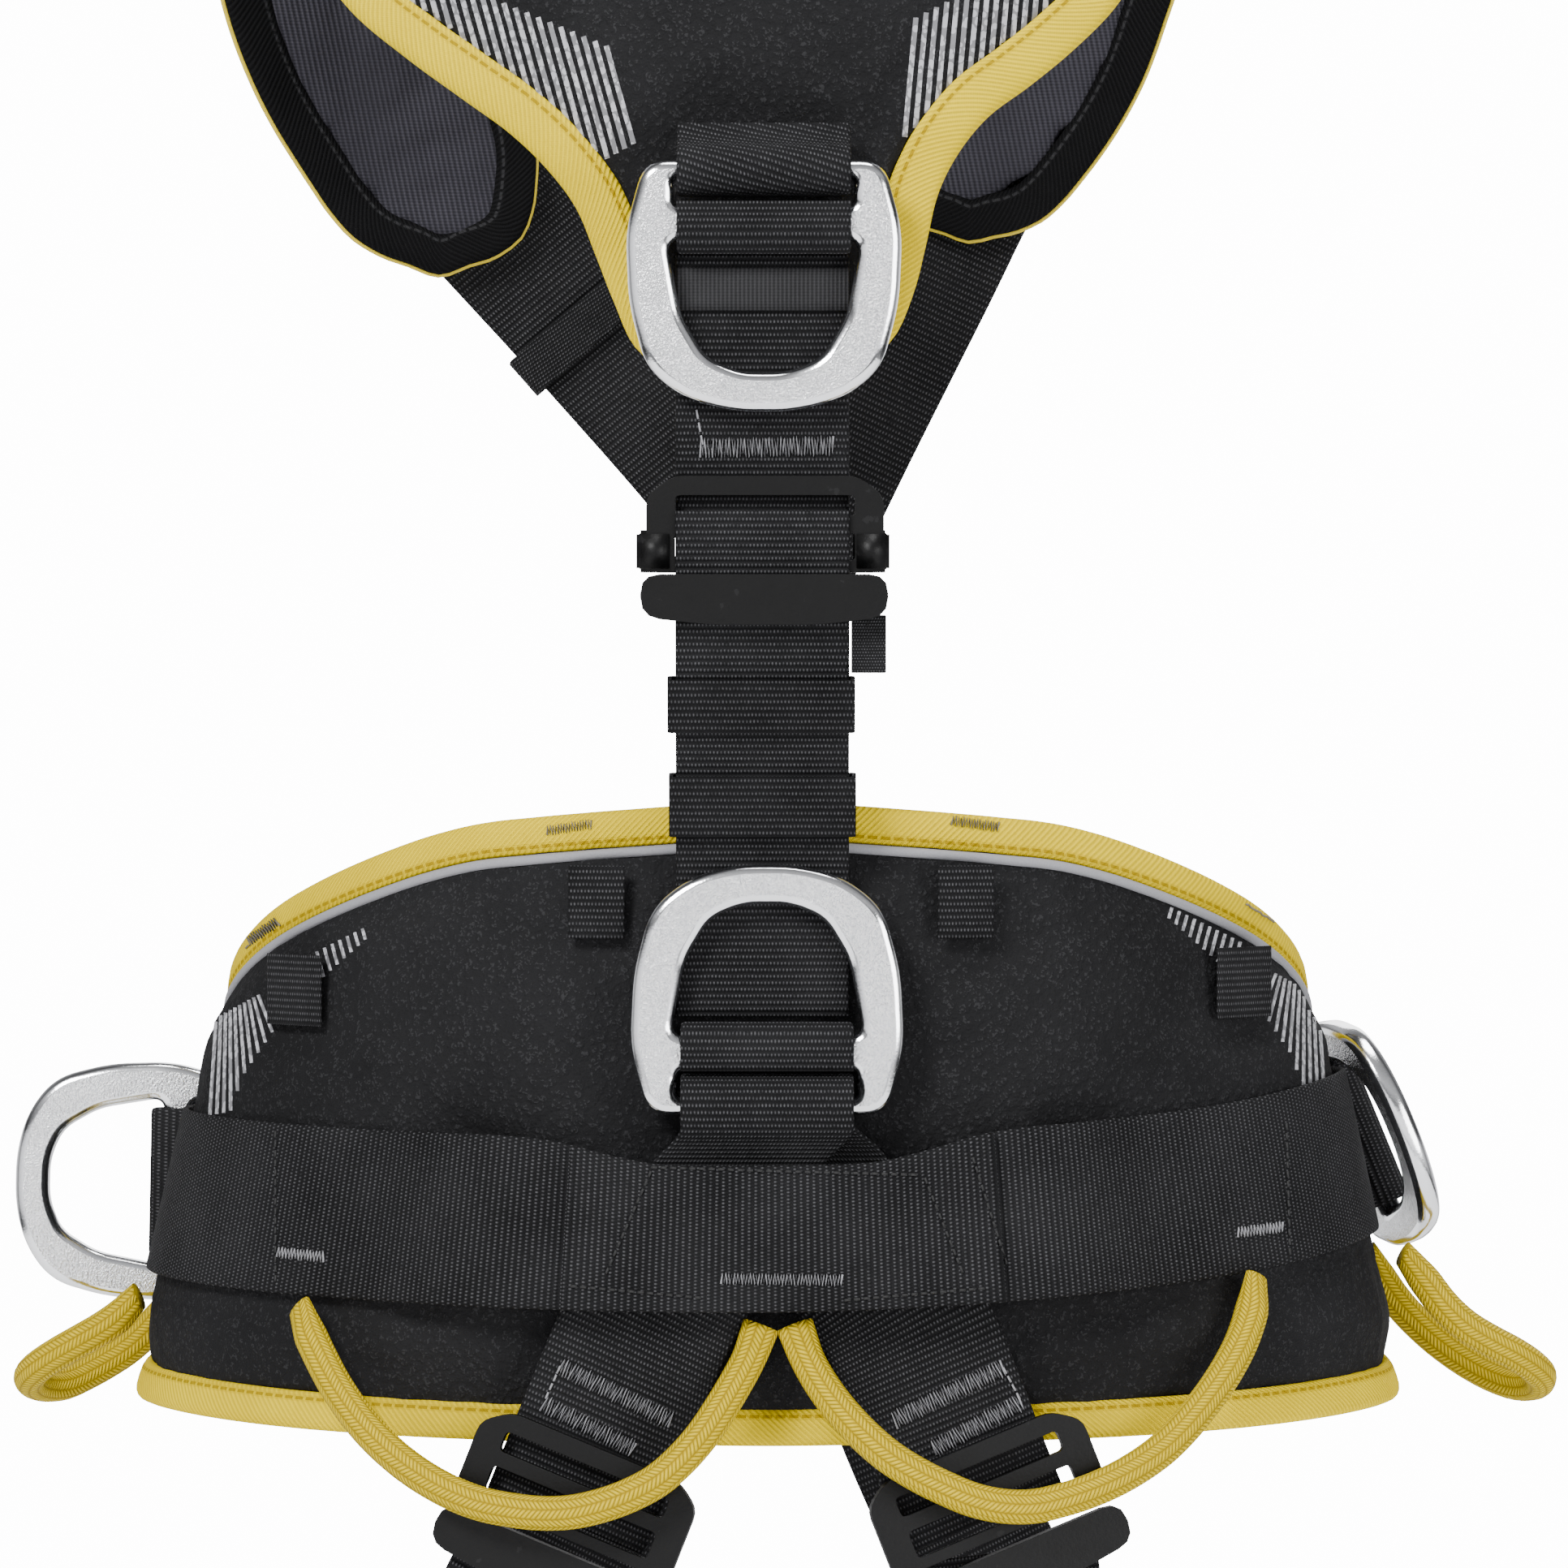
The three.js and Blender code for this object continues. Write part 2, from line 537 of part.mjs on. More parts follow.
// ---------------------------------------------------------------- vertical back strap and its adjuster
function backStrap(name, places, width = WEB_WIDTH, thick = WEB_THICK, material = webbing) {
  const path = places.map(([y, z]) => V(STRAP_X, y, z));
  return add(name, strap(path, fallingNormals(path), width, thick), material);
}
const BELT_BACK = -HIP_DEPTH - ON_PAD;
const FRAME_AT = V(-0.5, BACK_PLANE - WEB_THICK - GAP - FRAME_THICK / 2, 183.6);
const OVER_FRAME = FRAME_AT.y - FRAME_THICK / 2 - GAP; // inner face of the webbing that crosses the frame
const PLATE_AT = V(-0.7, OVER_FRAME - WEB_THICK - GAP - PLATE_THICK / 2, 164.5);
backStrap("back_strap_upper", [253.9, 240, 215, 190, 166].map((z) => [BACK_PLANE, z]));
backStrap("back_strap_lower", [
  [OVER_FRAME, 187], [OVER_FRAME, 172], [OVER_FRAME, 158], [-132, 147], [-127.6, 131], [-122.8, 115],
  [-119.8, 105], [BELT_BACK, 96], [BELT_BACK, 76], [BELT_BACK, 56],
]);
const backFrame = add("back_buckle_frame", buckleFrame(), blackMetal);
stand(backFrame, FRAME_AT, V(1, 0, 0), V(0, 0, 1), FRAME_THICK);
const backPlate = add("back_buckle_plate", bucklePlate(), blackMetal);
stand(backPlate, PLATE_AT, V(1, 0, 0), V(0, 0, 1), PLATE_THICK);

// An elastic sleeve round a strap: its middle, the strap's width and length directions, its height, and
// the clearance it needs.
const SLEEVE_WALL = 1.1;
function sleeve(name, origin, wide, along, high, room = GAP) {
  const outline = (extra) => mirrored([
    [WEB_WIDTH / 2 + room + extra, -WEB_THICK / 2 - room - extra],
    [WEB_WIDTH / 2 + room + extra, WEB_THICK / 2 + room + extra],
  ]);
  const body = roundedShape(outline(SLEEVE_WALL), 1);
  body.holes.push(roundedShape(outline(0), 0.4, THREE.Path));
  const geometry = new THREE.ExtrudeGeometry(body, { depth: high, bevelEnabled: false, curveSegments: 2 });
  stand(add(name, geometry, elastic), origin, wide, along.clone().cross(wide), high);
}
const fallAlong = (lean) => V(0, Math.sin(rad(lean)), Math.cos(rad(lean)));
sleeve("back_strap_keeper_upper", V(STRAP_X - 0.3, -130.15, 137), V(1, 0, 0), fallAlong(-16), 14, 0.7);
sleeve("back_strap_keeper_lower", V(STRAP_X, -122.9, 111), V(1, 0, 0), fallAlong(-14.5), 16, 0.7);

const TAG_WIDE = 9;
const TAG_HIGH = 15;
const tag = add("label_tag", new THREE.BoxGeometry(TAG_WIDE, 1, TAG_HIGH), label);
tag.position.set(STRAP_X + WEB_WIDTH / 2 + 0.5 + TAG_WIDE / 2, -134.4, 152.6);

// ---------------------------------------------------------------- dorsal D-ring and its webbing
const DORSAL_Z = 275.25; // its flat bar's axis
const ELASTIC_THICK = 0.8;
const DORSAL_Y = BACK_PLANE - WEB_THICK - 2 * GAP - ELASTIC_THICK - RING_THICK / 2;
const dorsalAt = V(-0.8, DORSAL_Y, DORSAL_Z);
const dorsalRing = add("dorsal_ring", dRing(RING_WIDTH, RING_LENGTH), alloy);
stand(dorsalRing, dorsalAt, V(-1, 0, 0), V(0, 0, -1), RING_THICK);
const dorsalWrap = add("dorsal_ring_wrap", ringWrap(WEB_WIDTH, 8.4), webbing);
stand(dorsalWrap, dorsalAt, V(-1, 0, 0), V(0, 0, -1), 0);

const fold = smoothPath(
  [
    [-128.6, 287], [-130, 284], [-132, 281.9], [-134.5, 280.4], [-138.2, 279.3], [-140.3, 276.6],
    [-140.2, 273.4], [-138, 270.9], [-134, 270.4], [-129.5, 270.3],
  ].map(([y, z]) => V(-0.8, y, z)),
  18,
);
add("dorsal_webbing", strap(fold, fallingNormals(fold)), webbing);
const ON_STRAP = BACK_PLANE - WEB_THICK - GAP;
backStrap("dorsal_keeper", [250, 239].map((z) => [ON_STRAP, z]), WEB_WIDTH, ELASTIC_THICK, elastic);

// ---------------------------------------------------------------- yoke and shoulder pads
// Matching points of the yoke's outer and neck edges, [x, u], from the left shoulder to the right one.
const yokeOuter = smoothLine(
  [
    [-148, 479], [-142, 430], [-128, 365], [-108, 320], [-83, 298.5], [-62, 282], [-49, 266], [-41, 246],
    [-31, 227], [0, 216], [31, 231], [38.5, 247], [44, 270], [54, 287], [71, 301], [90, 320], [106, 360],
    [117, 430], [122, 479],
  ],
  30,
);
const yokeNeck = smoothLine(
  [
    [-72, 479], [-66, 430], [-54, 388], [-40, 362], [-29, 352], [-20, 347], [-13, 344.6], [-7, 343.4],
    [-3, 343], [0, 342.8], [3, 343], [7, 343.4], [12, 344.6], [19, 347], [27, 352], [36, 362], [45, 388],
    [52, 430], [56, 479],
  ],
  30,
);
const yokeInset = inset(yokeOuter, YOKE_BINDING);
const yokeFree = inset(yokeOuter, YOKE_BINDING + GAP);
add("yoke_pad", cushion(shell, yokeFree, yokeNeck, YOKE_THICK, YOKE_EDGE), padFabric);
const yokeGrip = [0.8, 7.6];
const middle = yokeOuter.findIndex(([x]) => x >= 0);
const yokeTape = (from, to) => tape(shell, yokeOuter.slice(from, to), yokeInset.slice(from, to), ...yokeGrip);
add("yoke_binding_left", yokeTape(0, middle), yellowTape);
add("yoke_binding_right", yokeTape(middle), yellowTape);

// A front shoulder pad: its outer, bottom and inner edge as one line down, round and up again.
function shoulderPad(side, outer, inner, web) {
  const count = 20;
  const [left, right] = [smoothLine(outer, count), smoothLine(inner, count)];
  const turn = Math.sign(inner[0][0] - outer[0][0]);
  const trim = (line, d) => inset(line, d).slice(0, -2);
  const grip = SHOULDER_BINDING + GAP;
  add(
    "shoulder_pad_" + side,
    cushion(shell, trim(left, turn * -grip), trim(right, turn * grip), YOKE_THICK, YOKE_EDGE),
    lining,
  );
  const rim = [...left, ...right.slice(0, -1).reverse()];
  const rimInset = inset(rim, turn * -SHOULDER_BINDING);
  add("shoulder_binding_" + side, tape(shell, rim, rimInset, ...yokeGrip), blackTape);
  add("chest_strap_" + side, drapedStrap(shell, web), webbing);
}
const leftChestLine = smoothOffsets(
  [
    [-110, 485, 9.8], [-113, 540, 9.8], [-113, 600, 9.8], [-107, 635, 9.8], [-96, 665, 9.8], [-83, 685, 9.8],
    [-69, 701, 9.8], [-54, 718, 8.6], [-37, 738, 5.6], [-20, 758, 3.2], [-6, 775, 2.4],
  ],
  34,
);
shoulderPad(
  "left",
  [[-148, 481], [-152, 540], [-153, 600], [-149, 636], [-141, 662], [-130, 682], [-114, 703], [-92, 712]],
  [[-72, 481], [-74, 540], [-75, 600], [-72, 636], [-68, 660], [-65, 680], [-70, 702], [-92, 712]],
  leftChestLine,
);
shoulderPad(
  "right",
  [[122, 481], [125, 540], [120, 600], [111, 636], [103, 660], [91, 680], [75, 697], [56, 702]],
  [[56, 481], [56, 540], [48, 600], [42, 636], [38, 656], [35, 676], [39, 694], [56, 702]],
  smoothOffsets(
    [
      [89, 485, 9.8], [89, 540, 9.8], [81, 600, 9.8], [72, 640, 9.8], [60, 670, 9.8], [50, 690, 9.8],
      [41, 709, 9.4], [30, 732, 7.6], [18, 757, 6.2], [8, 778, 6], [-1, 797, 6],
    ],
    34,
  ),
);
const KEEPER_U = 720;
const keeperStation = leftChestLine.findIndex(([, u]) => u > KEEPER_U);
const [keeperHere, keeperNext] = [0, 1].map((k) => {
  const [x, u, off] = leftChestLine[keeperStation + k];
  return shell(x, u, off + WEB_THICK / 2);
});
const keeperFall = keeperNext.p.sub(keeperHere.p).normalize();
const keeperWide = keeperHere.n.clone().cross(keeperFall).normalize();
sleeve("chest_keeper_left", keeperHere.p, keeperWide, keeperFall, 12, 2.2);

// ---------------------------------------------------------------- chest: two rings and the strap between
const CHEST_X = -1.8;
const SMALL_RING_WIDTH = 48;
const SMALL_RING_LENGTH = 52;
const FRONT_WEB = 30; // the front strap, gathered to fit the smaller rings
const STERNAL = V(CHEST_X, 113, 163);
const VENTRAL = V(CHEST_X, 114.6, 15);
function frontRing(name, origin) {
  const ring = add(name, dRing(SMALL_RING_WIDTH, SMALL_RING_LENGTH), alloy);
  stand(ring, origin, V(1, 0, 0), V(0, 0, -1), RING_THICK);
}
frontRing("sternal_ring", STERNAL);
frontRing("ventral_ring", VENTRAL);
const frontPath = smoothPath(
  [
    [109.4, 184], [109.6, 176], [112, 169.6], [115.6, 168.2], [118.2, 164.5], [117, 160.2], [113, 158.8],
    [108.8, 158.5], [106.2, 156.8], [105.4, 151], [105.4, 130], [105.4, 100], [105.6, 60], [107.4, 44],
    [109.6, 32], [111.6, 24], [115.4, 20.3], [119.1, 17.3], [118.9, 12.8], [115, 10.8], [110.4, 10.6],
  ].map(([y, z]) => V(CHEST_X, y, z)),
  44,
);
add("front_strap", strap(frontPath, fallingNormals(frontPath, -1), FRONT_WEB), webbing);

for (const [side, angle] of [["left", -151.5], ["right", 151.5]]) {
  const spot = belt(angle, 6, 6.6);
  const across = V(0, 0, 1).cross(spot.n).normalize();
  stand(add("waist_buckle_" + side, buckleFrame(), blackMetal), spot.p, V(0, 0, 1), across, FRAME_THICK);
}

// ---------------------------------------------------------------- leg loops
const LEG_PAD_WIDE = 74;
const LEG_PAD_THICK = 10;
const LEG_PAD_EDGE = 5;
const LEG_ON_PAD = LEG_PAD_THICK + GAP;
function legLoop(side, sign) {
  const thigh = (angle, height, off) => {
    const normal = V(sign * Math.sin(rad(angle)), -Math.cos(rad(angle)), 0);
    const p = normal.clone().multiplyScalar(THIGH_RADIUS + off);
    return { p: V(p.x + sign * THIGH_X, p.y, THIGH_Z + THIGH_TILT * p.y + height), n: normal };
  };
  const edge = (height) => steps(-80, 200, 22).map((angle) => {
    const ease = smoothstep(Math.abs(angle - 60), 100, 140);
    return [angle, height * (1 - 0.25 * ease)];
  });
  const [top, bottom] = [edge(LEG_PAD_WIDE / 2), edge(-LEG_PAD_WIDE / 2)];
  add("leg_pad_" + side, cushion(thigh, top, bottom, LEG_PAD_THICK, LEG_PAD_EDGE), padFabric);
  const loopEdge = (height) => steps(-176, 176, 48).map((angle) => [angle, height]);
  add(
    "leg_webbing_" + side,
    tape(thigh, loopEdge(WEB_WIDTH / 2), loopEdge(-WEB_WIDTH / 2), LEG_ON_PAD, LEG_ON_PAD + WEB_THICK),
    webbing,
  );
  const start = sign < 0 ? -58 : 66;
  const rear = smoothPath(
    [
      beltAt(start, -84, 14.6).p, V(sign * 67, -113, -105), V(sign * 75, -111, -140),
      V(sign * 84, -105.5, -180), V(sign * 90, -100, -212), V(sign * 94, -96, -236), V(sign * 96, -95, -258),
      V(sign * 97, -95, -277),
    ],
    24,
  );
  const rearNormals = fallingNormals(rear).map((n, i) => {
    const onBelt = smoothstep(rear[i].z, -150, -105);
    return n.lerp(beltAt(rear[i].x, rear[i].z, 0).n, onBelt).normalize();
  });
  add("leg_strap_" + side, strap(rear, rearNormals), webbing);
  const front = smoothPath(
    [
      belt(180 - sign * 13, -19.5, 2.7).p, V(sign * 36, 108.5, -46), V(sign * 54, 111, -92),
      V(sign * 78, 105, -140), V(sign * 92, 97, -182), V(sign * 96.5, 95.4, -206), V(sign * 97, 95.4, -222),
    ],
    22,
  );
  add("leg_front_strap_" + side, strap(front, fallingNormals(front, -1)), webbing);
}
legLoop("left", -1);
legLoop("right", 1);

for (const piece of harness.children) piece.position.sub(V(STRAP_X, BACK_PLANE, ORIGIN_Z));

export default harness;
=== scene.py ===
"""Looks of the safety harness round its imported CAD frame: webbing, bindings, pads, cords and metal."""

import json
import math

import bmesh
import bpy
import numpy as np
from mathutils import Matrix, Vector
from mathutils.bvhtree import BVHTree
from mathutils.kdtree import KDTree

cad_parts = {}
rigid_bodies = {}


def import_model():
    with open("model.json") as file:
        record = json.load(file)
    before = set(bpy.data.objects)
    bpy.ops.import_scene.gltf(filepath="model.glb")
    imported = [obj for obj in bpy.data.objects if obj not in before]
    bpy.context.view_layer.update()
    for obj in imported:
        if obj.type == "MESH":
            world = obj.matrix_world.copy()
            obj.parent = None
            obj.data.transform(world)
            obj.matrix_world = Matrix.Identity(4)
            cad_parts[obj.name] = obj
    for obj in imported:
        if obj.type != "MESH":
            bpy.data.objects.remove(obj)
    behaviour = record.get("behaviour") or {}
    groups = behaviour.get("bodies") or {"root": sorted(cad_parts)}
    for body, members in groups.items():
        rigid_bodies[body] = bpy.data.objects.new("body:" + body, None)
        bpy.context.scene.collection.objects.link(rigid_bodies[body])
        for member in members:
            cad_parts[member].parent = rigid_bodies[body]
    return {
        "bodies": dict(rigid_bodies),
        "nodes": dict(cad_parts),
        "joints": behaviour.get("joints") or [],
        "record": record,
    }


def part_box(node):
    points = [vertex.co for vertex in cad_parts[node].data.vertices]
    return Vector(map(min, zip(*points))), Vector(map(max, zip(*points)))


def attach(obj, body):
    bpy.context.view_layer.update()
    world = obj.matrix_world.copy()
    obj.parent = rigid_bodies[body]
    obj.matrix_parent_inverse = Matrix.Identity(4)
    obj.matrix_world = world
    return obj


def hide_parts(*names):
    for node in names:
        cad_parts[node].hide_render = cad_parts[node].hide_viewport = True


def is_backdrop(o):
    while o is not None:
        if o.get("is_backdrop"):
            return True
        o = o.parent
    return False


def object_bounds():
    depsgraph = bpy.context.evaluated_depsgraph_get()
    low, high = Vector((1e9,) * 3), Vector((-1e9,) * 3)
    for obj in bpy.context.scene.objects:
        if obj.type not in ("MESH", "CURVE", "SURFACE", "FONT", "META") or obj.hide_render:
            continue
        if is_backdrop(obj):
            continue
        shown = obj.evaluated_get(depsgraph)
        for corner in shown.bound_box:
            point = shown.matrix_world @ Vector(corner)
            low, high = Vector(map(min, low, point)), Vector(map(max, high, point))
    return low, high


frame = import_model()
NODES = frame["nodes"]
# Only the CAD parts and their bodies stay in the scene.
for spare in set(bpy.data.objects) - set(NODES.values()) - set(frame["bodies"].values()):
    bpy.data.objects.remove(spare)
size_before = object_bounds()

MM = 0.001
# Corners of a CAD mesh that are nearer than this, in metres, are one corner.
WELD = 2e-5
JOINTS = {j["child"]: j for j in frame["joints"]}
BODY_OF = {n: b for b, members in frame["record"]["behaviour"]["bodies"].items() for n in members}
ROOT = "webbing_and_pads"
SLOT_OF = {s["node"]: s["material_slot"] for s in frame["record"]["subparts"]}

# The middle of the belt: the body axis in X and the mid height of the waist band in Z. The waist ring's
# hinge lies straight above it, by RING_ABOVE_BELT in mm.
RING_ABOVE_BELT = 32.75
WAIST_RING_HINGE = Vector(JOINTS["waist_ring_body"]["pos_m"])
BELT_X = WAIST_RING_HINGE.x
BELT_Z = WAIST_RING_HINGE.z - RING_ABOVE_BELT * MM


# ---------------- shader building
class Graph:
    """A node tree under construction; values and colours are sockets or plain numbers."""

    def __init__(self, tree):
        self.tree = tree

    def node(self, kind, **inputs):
        made = self.tree.nodes.new(kind)
        for key, value in inputs.items():
            self.set(made.inputs[key], value)
        return made

    def set(self, socket, value):
        if isinstance(value, bpy.types.NodeSocket):
            self.tree.links.new(value, socket)
        elif isinstance(value, tuple) and len(value) == 3 and socket.type == "RGBA":
            socket.default_value = (*value, 1)
        else:
            socket.default_value = value

    def math(self, operation, a, b=0.0, c=0.0):
        made = self.tree.nodes.new("ShaderNodeMath")
        made.operation = operation
        for socket, value in zip(made.inputs, (a, b, c)):
            self.set(socket, value)
        return made.outputs[0]

    def times(self, a, b):
        return self.math("MULTIPLY", a, b)

    def linear(self, value, gain, plus):
        return self.math("MULTIPLY_ADD", value, gain, plus)

    def power(self, value, exponent):
        return self.math("POWER", value, exponent)

    def above(self, value, level):
        return self.math("GREATER_THAN", value, level)

    def below(self, value, level):
        return self.math("LESS_THAN", value, level)

    def parity(self, value, pitch):
        """0 and 1 by turns, one for each pitch of value."""
        return self.math("FLOORED_MODULO", self.math("FLOOR", self.math("DIVIDE", value, pitch)), 2.0)

    def wave(self, value, pitch, phase=0.0):
        """0 to 1 and back over each pitch of value."""
        turned = self.linear(value, 2 * math.pi / pitch, phase)
        return self.linear(self.math("SINE", turned), 0.5, 0.5)

    def apart(self, vector):
        """The three components of a vector."""
        return tuple(self.node("ShaderNodeSeparateXYZ", Vector=vector).outputs)

    def mix(self, share, a, b):
        made = self.tree.nodes.new("ShaderNodeMix")
        made.data_type = "RGBA"
        self.set(made.inputs["Factor"], share)
        for socket, value in ((made.inputs[6], a), (made.inputs[7], b)):
            self.set(socket, value)
        return made.outputs[2]


class Shader(Graph):
    """A material's node tree, with the places and noises that its pattern is made from."""

    def __init__(self, name):
        self.material = bpy.data.materials.new(name)
        self.material.use_nodes = True
        super().__init__(self.material.node_tree)
        self.surface = self.tree.nodes["Principled BSDF"]

    def uv(self):
        """Distance along the piece and across it, in mm, as laid out by the builders below."""
        return self.apart(self.node("ShaderNodeTexCoord").outputs["UV"])[:2]

    def place(self):
        return self.node("ShaderNodeTexCoord").outputs["Object"]

    def place_mm(self):
        """X, Y and Z in mm, for parts that have no UV layout."""
        return tuple(self.times(metres, 1 / MM) for metres in self.apart(self.place()))

    def noise(self, scale, detail=2.0):
        """Cloudy noise from 0 to 1, with scale clouds to the metre."""
        made = self.node("ShaderNodeTexNoise", Vector=self.place(), Scale=scale, Detail=detail)
        return made.outputs["Fac"]

    def cells(self, scale):
        """The distance to the middle of the nearest cell, with scale cells to the metre."""
        return self.node("ShaderNodeTexVoronoi", Vector=self.place(), Scale=scale).outputs["Distance"]

    def bumped(self, height, depth):
        """A normal from a height in 0..1 that stands for depth millimetres."""
        made = self.node("ShaderNodeBump", Height=height, Distance=depth * MM, Strength=1.0)
        return made.outputs["Normal"]

    def finish(self, colour, roughness, normal=None, metallic=0.0, gloss=0.5):
        self.set(self.surface.inputs["Base Color"], colour)
        self.set(self.surface.inputs["Roughness"], roughness)
        self.set(self.surface.inputs["Metallic"], metallic)
        self.set(self.surface.inputs["Specular IOR Level"], gloss)
        if normal is not None:
            self.set(self.surface.inputs["Normal"], normal)
        return self.material


def grey(value):
    """A dark, faintly blue grey."""
    return (value, value, value * 1.06)


# ---------------- materials
def woven(name, dark, light, rib=1.7, yarn_pitch=0.95, slant=0.0, upright=False):
    """Webbing: ribs across the strap, each a row of crossing yarns, with painted highlights as pale flecks
    on their crowns.

    rib and fleck are pitches in mm, and slant leans the ribs by that share. With upright the strap is
    taken to run along Z, for parts that have no UV layout."""
    s = Shader(name)
    if upright:
        v, _, u = s.place_mm()
    else:
        u, v = s.uv()
    u = s.linear(v, slant, u)
    ridge = s.wave(u, rib)
    yarn = s.wave(s.linear(s.parity(u, rib), yarn_pitch / 2, v), yarn_pitch)
    cloud = s.noise(38.0, 4.0)
    # Painted highlight: pale glints where the crowns of ribs and yarns meet, broken up by a fine noise, then
    # added to a random mottle of tone.
    glint_breakup = s.noise(900.0, 3.0)
    glint = s.times(s.power(ridge, 2.0), s.power(yarn, 2.0))
    share = s.times(glint, s.linear(glint_breakup, 2.8, -0.5))
    paler = s.linear(cloud, 0.25, share)
    height = s.linear(yarn, 0.35, ridge)
    return s.finish(s.mix(paler, dark, light), 0.8, s.bumped(height, 0.42), gloss=0.05)


def twill(name, base, shade, thread, stitch_at, half):
    """Binding tape: fine diagonal ribs, and a row of stitches stitch_at mm in from its inner edge.

    half is the tape's half width in mm."""
    stitch_pitch, stitch_length = 3.4, 2.5
    stitch_half, groove_half = 0.42, 0.9
    s = Shader(name)
    u, v = s.uv()
    ridge = s.wave(s.math("ADD", u, v), 1.7)
    fine = s.wave(s.math("SUBTRACT", u, v), 0.55)
    cloud = s.noise(60.0, 4.0)
    off = s.math("ABSOLUTE", s.math("SUBTRACT", v, half - stitch_at))
    dash = s.below(s.math("FLOORED_MODULO", u, stitch_pitch), stitch_length)
    stitch = s.times(s.below(off, stitch_half), dash)
    groove = s.below(off, groove_half)
    share = s.linear(ridge, -0.55, s.linear(cloud, 0.5, 0.5))
    colour = s.mix(share, base, shade)
    colour = s.mix(s.times(groove, 0.45), colour, shade)
    colour = s.mix(stitch, colour, thread)
    height = s.linear(fine, 0.3, ridge)
    height = s.linear(groove, -1.4, s.linear(stitch, 2.2, height))
    return s.finish(colour, 0.68, s.bumped(height, 0.3), gloss=0.02)


def knit(name, dark, light):
    """Spacer mesh: a fine net of dark cells with light specks, over soft creases."""
    s = Shader(name)
    hole = s.cells(500.0)
    speck = s.noise(1400.0, 2.0)
    cloud = s.noise(16.0, 5.0)
    fold = s.noise(11.0, 1.0)
    lit = s.times(s.above(speck, 0.56), s.below(hole, 0.5))
    share = s.linear(lit, 0.5, s.linear(cloud, 0.6, -0.2))
    height = s.math("SUBTRACT", s.linear(cloud, 4.0, speck), hole)
    height = s.linear(fold, 22.0, height)
    return s.finish(s.mix(share, dark, light), 0.9, s.bumped(height, 0.5), gloss=0.08)


def ribbed_lining(name, dark, light):
    """The smooth inner face of the shoulder pads, with fine upright ribs."""
    s = Shader(name)
    across, _, along = s.place_mm()
    rib = s.wave(s.linear(along, 0.2, across), 1.5)
    loop = s.wave(along, 0.9)
    cloud = s.noise(30.0, 4.0)
    height = s.linear(loop, 0.4, rib)
    # Painted light and shade: the raised ribs and loops are coloured lighter than the grooves, broken up by
    # a random cloud.
    share = s.times(height, s.linear(cloud, 0.9, 0.1))
    return s.finish(s.mix(share, dark, light), 0.85, s.bumped(height, 0.35), gloss=0.12)


def knitted_elastic(name, dark, light):
    """Elastic: ribs along the strap, crossed by rows of fine loops."""
    s = Shader(name)
    u, v = s.uv()
    rib = s.wave(v, 1.1)
    loop = s.wave(u, 0.8)
    height = s.linear(loop, 0.35, rib)
    # Painted light and shade: raised ribs and loops are coloured lighter than the grooves, plus a random
    # mottle.
    share = s.linear(height, 0.4, s.times(s.noise(90.0, 4.0), 0.3))
    return s.finish(s.mix(share, dark, light), 0.72, s.bumped(height, 0.22), gloss=0.12)


def braided(name, light, base, dark):
    """A braided sheath: columns of slanting strands that change direction from one to the next, with painted
    shade in the grooves between them.
    """
    strand = 2.65
    s = Shader(name)
    u, v = s.uv()
    turn = s.linear(s.parity(v, strand), 2.0, -1.0)
    slant = s.linear(s.times(v, turn), 0.75, u)
    ridge = s.wave(slant, 1.3)
    edge = s.wave(v, strand, -math.pi / 2)
    height = s.times(s.power(ridge, 0.6), s.power(edge, 0.5))
    fibre = s.noise(700.0, 3.0)
    body = s.mix(s.times(fibre, 0.9), base, light)
    # Painted shade: the colour darkens where the braid is low, in the grooves between strands.
    colour = s.mix(s.power(s.math("SUBTRACT", 1.0, height), 2.0), body, dark)
    return s.finish(colour, 0.6, s.bumped(height, 0.4), gloss=0.05)


def forged(name, base, dark, rough, depth):
    """Tumbled aluminium: a fine grain, soft dents and patches of duller roughness, as deep as depth in mm.
    """
    s = Shader(name)
    grain = s.noise(1500.0, 4.0)
    dent = s.noise(75.0, 2.0)
    wear = s.noise(45.0, 6.0)
    height = s.linear(dent, 1.6, grain)
    dulled = s.linear(wear, 0.2, rough - 0.06)
    colour = s.mix(s.linear(grain, 1.6, -0.5), base, dark)
    return s.finish(colour, dulled, s.bumped(height, depth), metallic=1.0)


def coated(name, base, paler):
    """Matt black coating with a fine orange-peel and pale rubbed flecks."""
    s = Shader(name)
    peel = s.noise(1100.0, 2.0)
    rub = s.noise(240.0, 6.0)
    flecks = s.times(s.above(rub, 0.69), 0.3)
    rough = s.linear(rub, 0.2, 0.36)
    return s.finish(s.mix(flecks, base, paler), rough, s.bumped(peel, 0.06), gloss=0.22)


def thread_like(name, base, dark):
    """Twisted yarn."""
    s = Shader(name)
    twist = s.noise(1800.0, 2.0)
    return s.finish(s.mix(twist, base, dark), 0.7, s.bumped(twist, 0.1))


def printed(name, base, dark):
    """Reflective print: pale, broken up by the mesh it is printed on."""
    s = Shader(name)
    cells = s.cells(520.0)
    return s.finish(s.mix(s.times(s.above(cells, 0.52), 0.8), base, dark), 0.55, s.bumped(cells, 0.2))


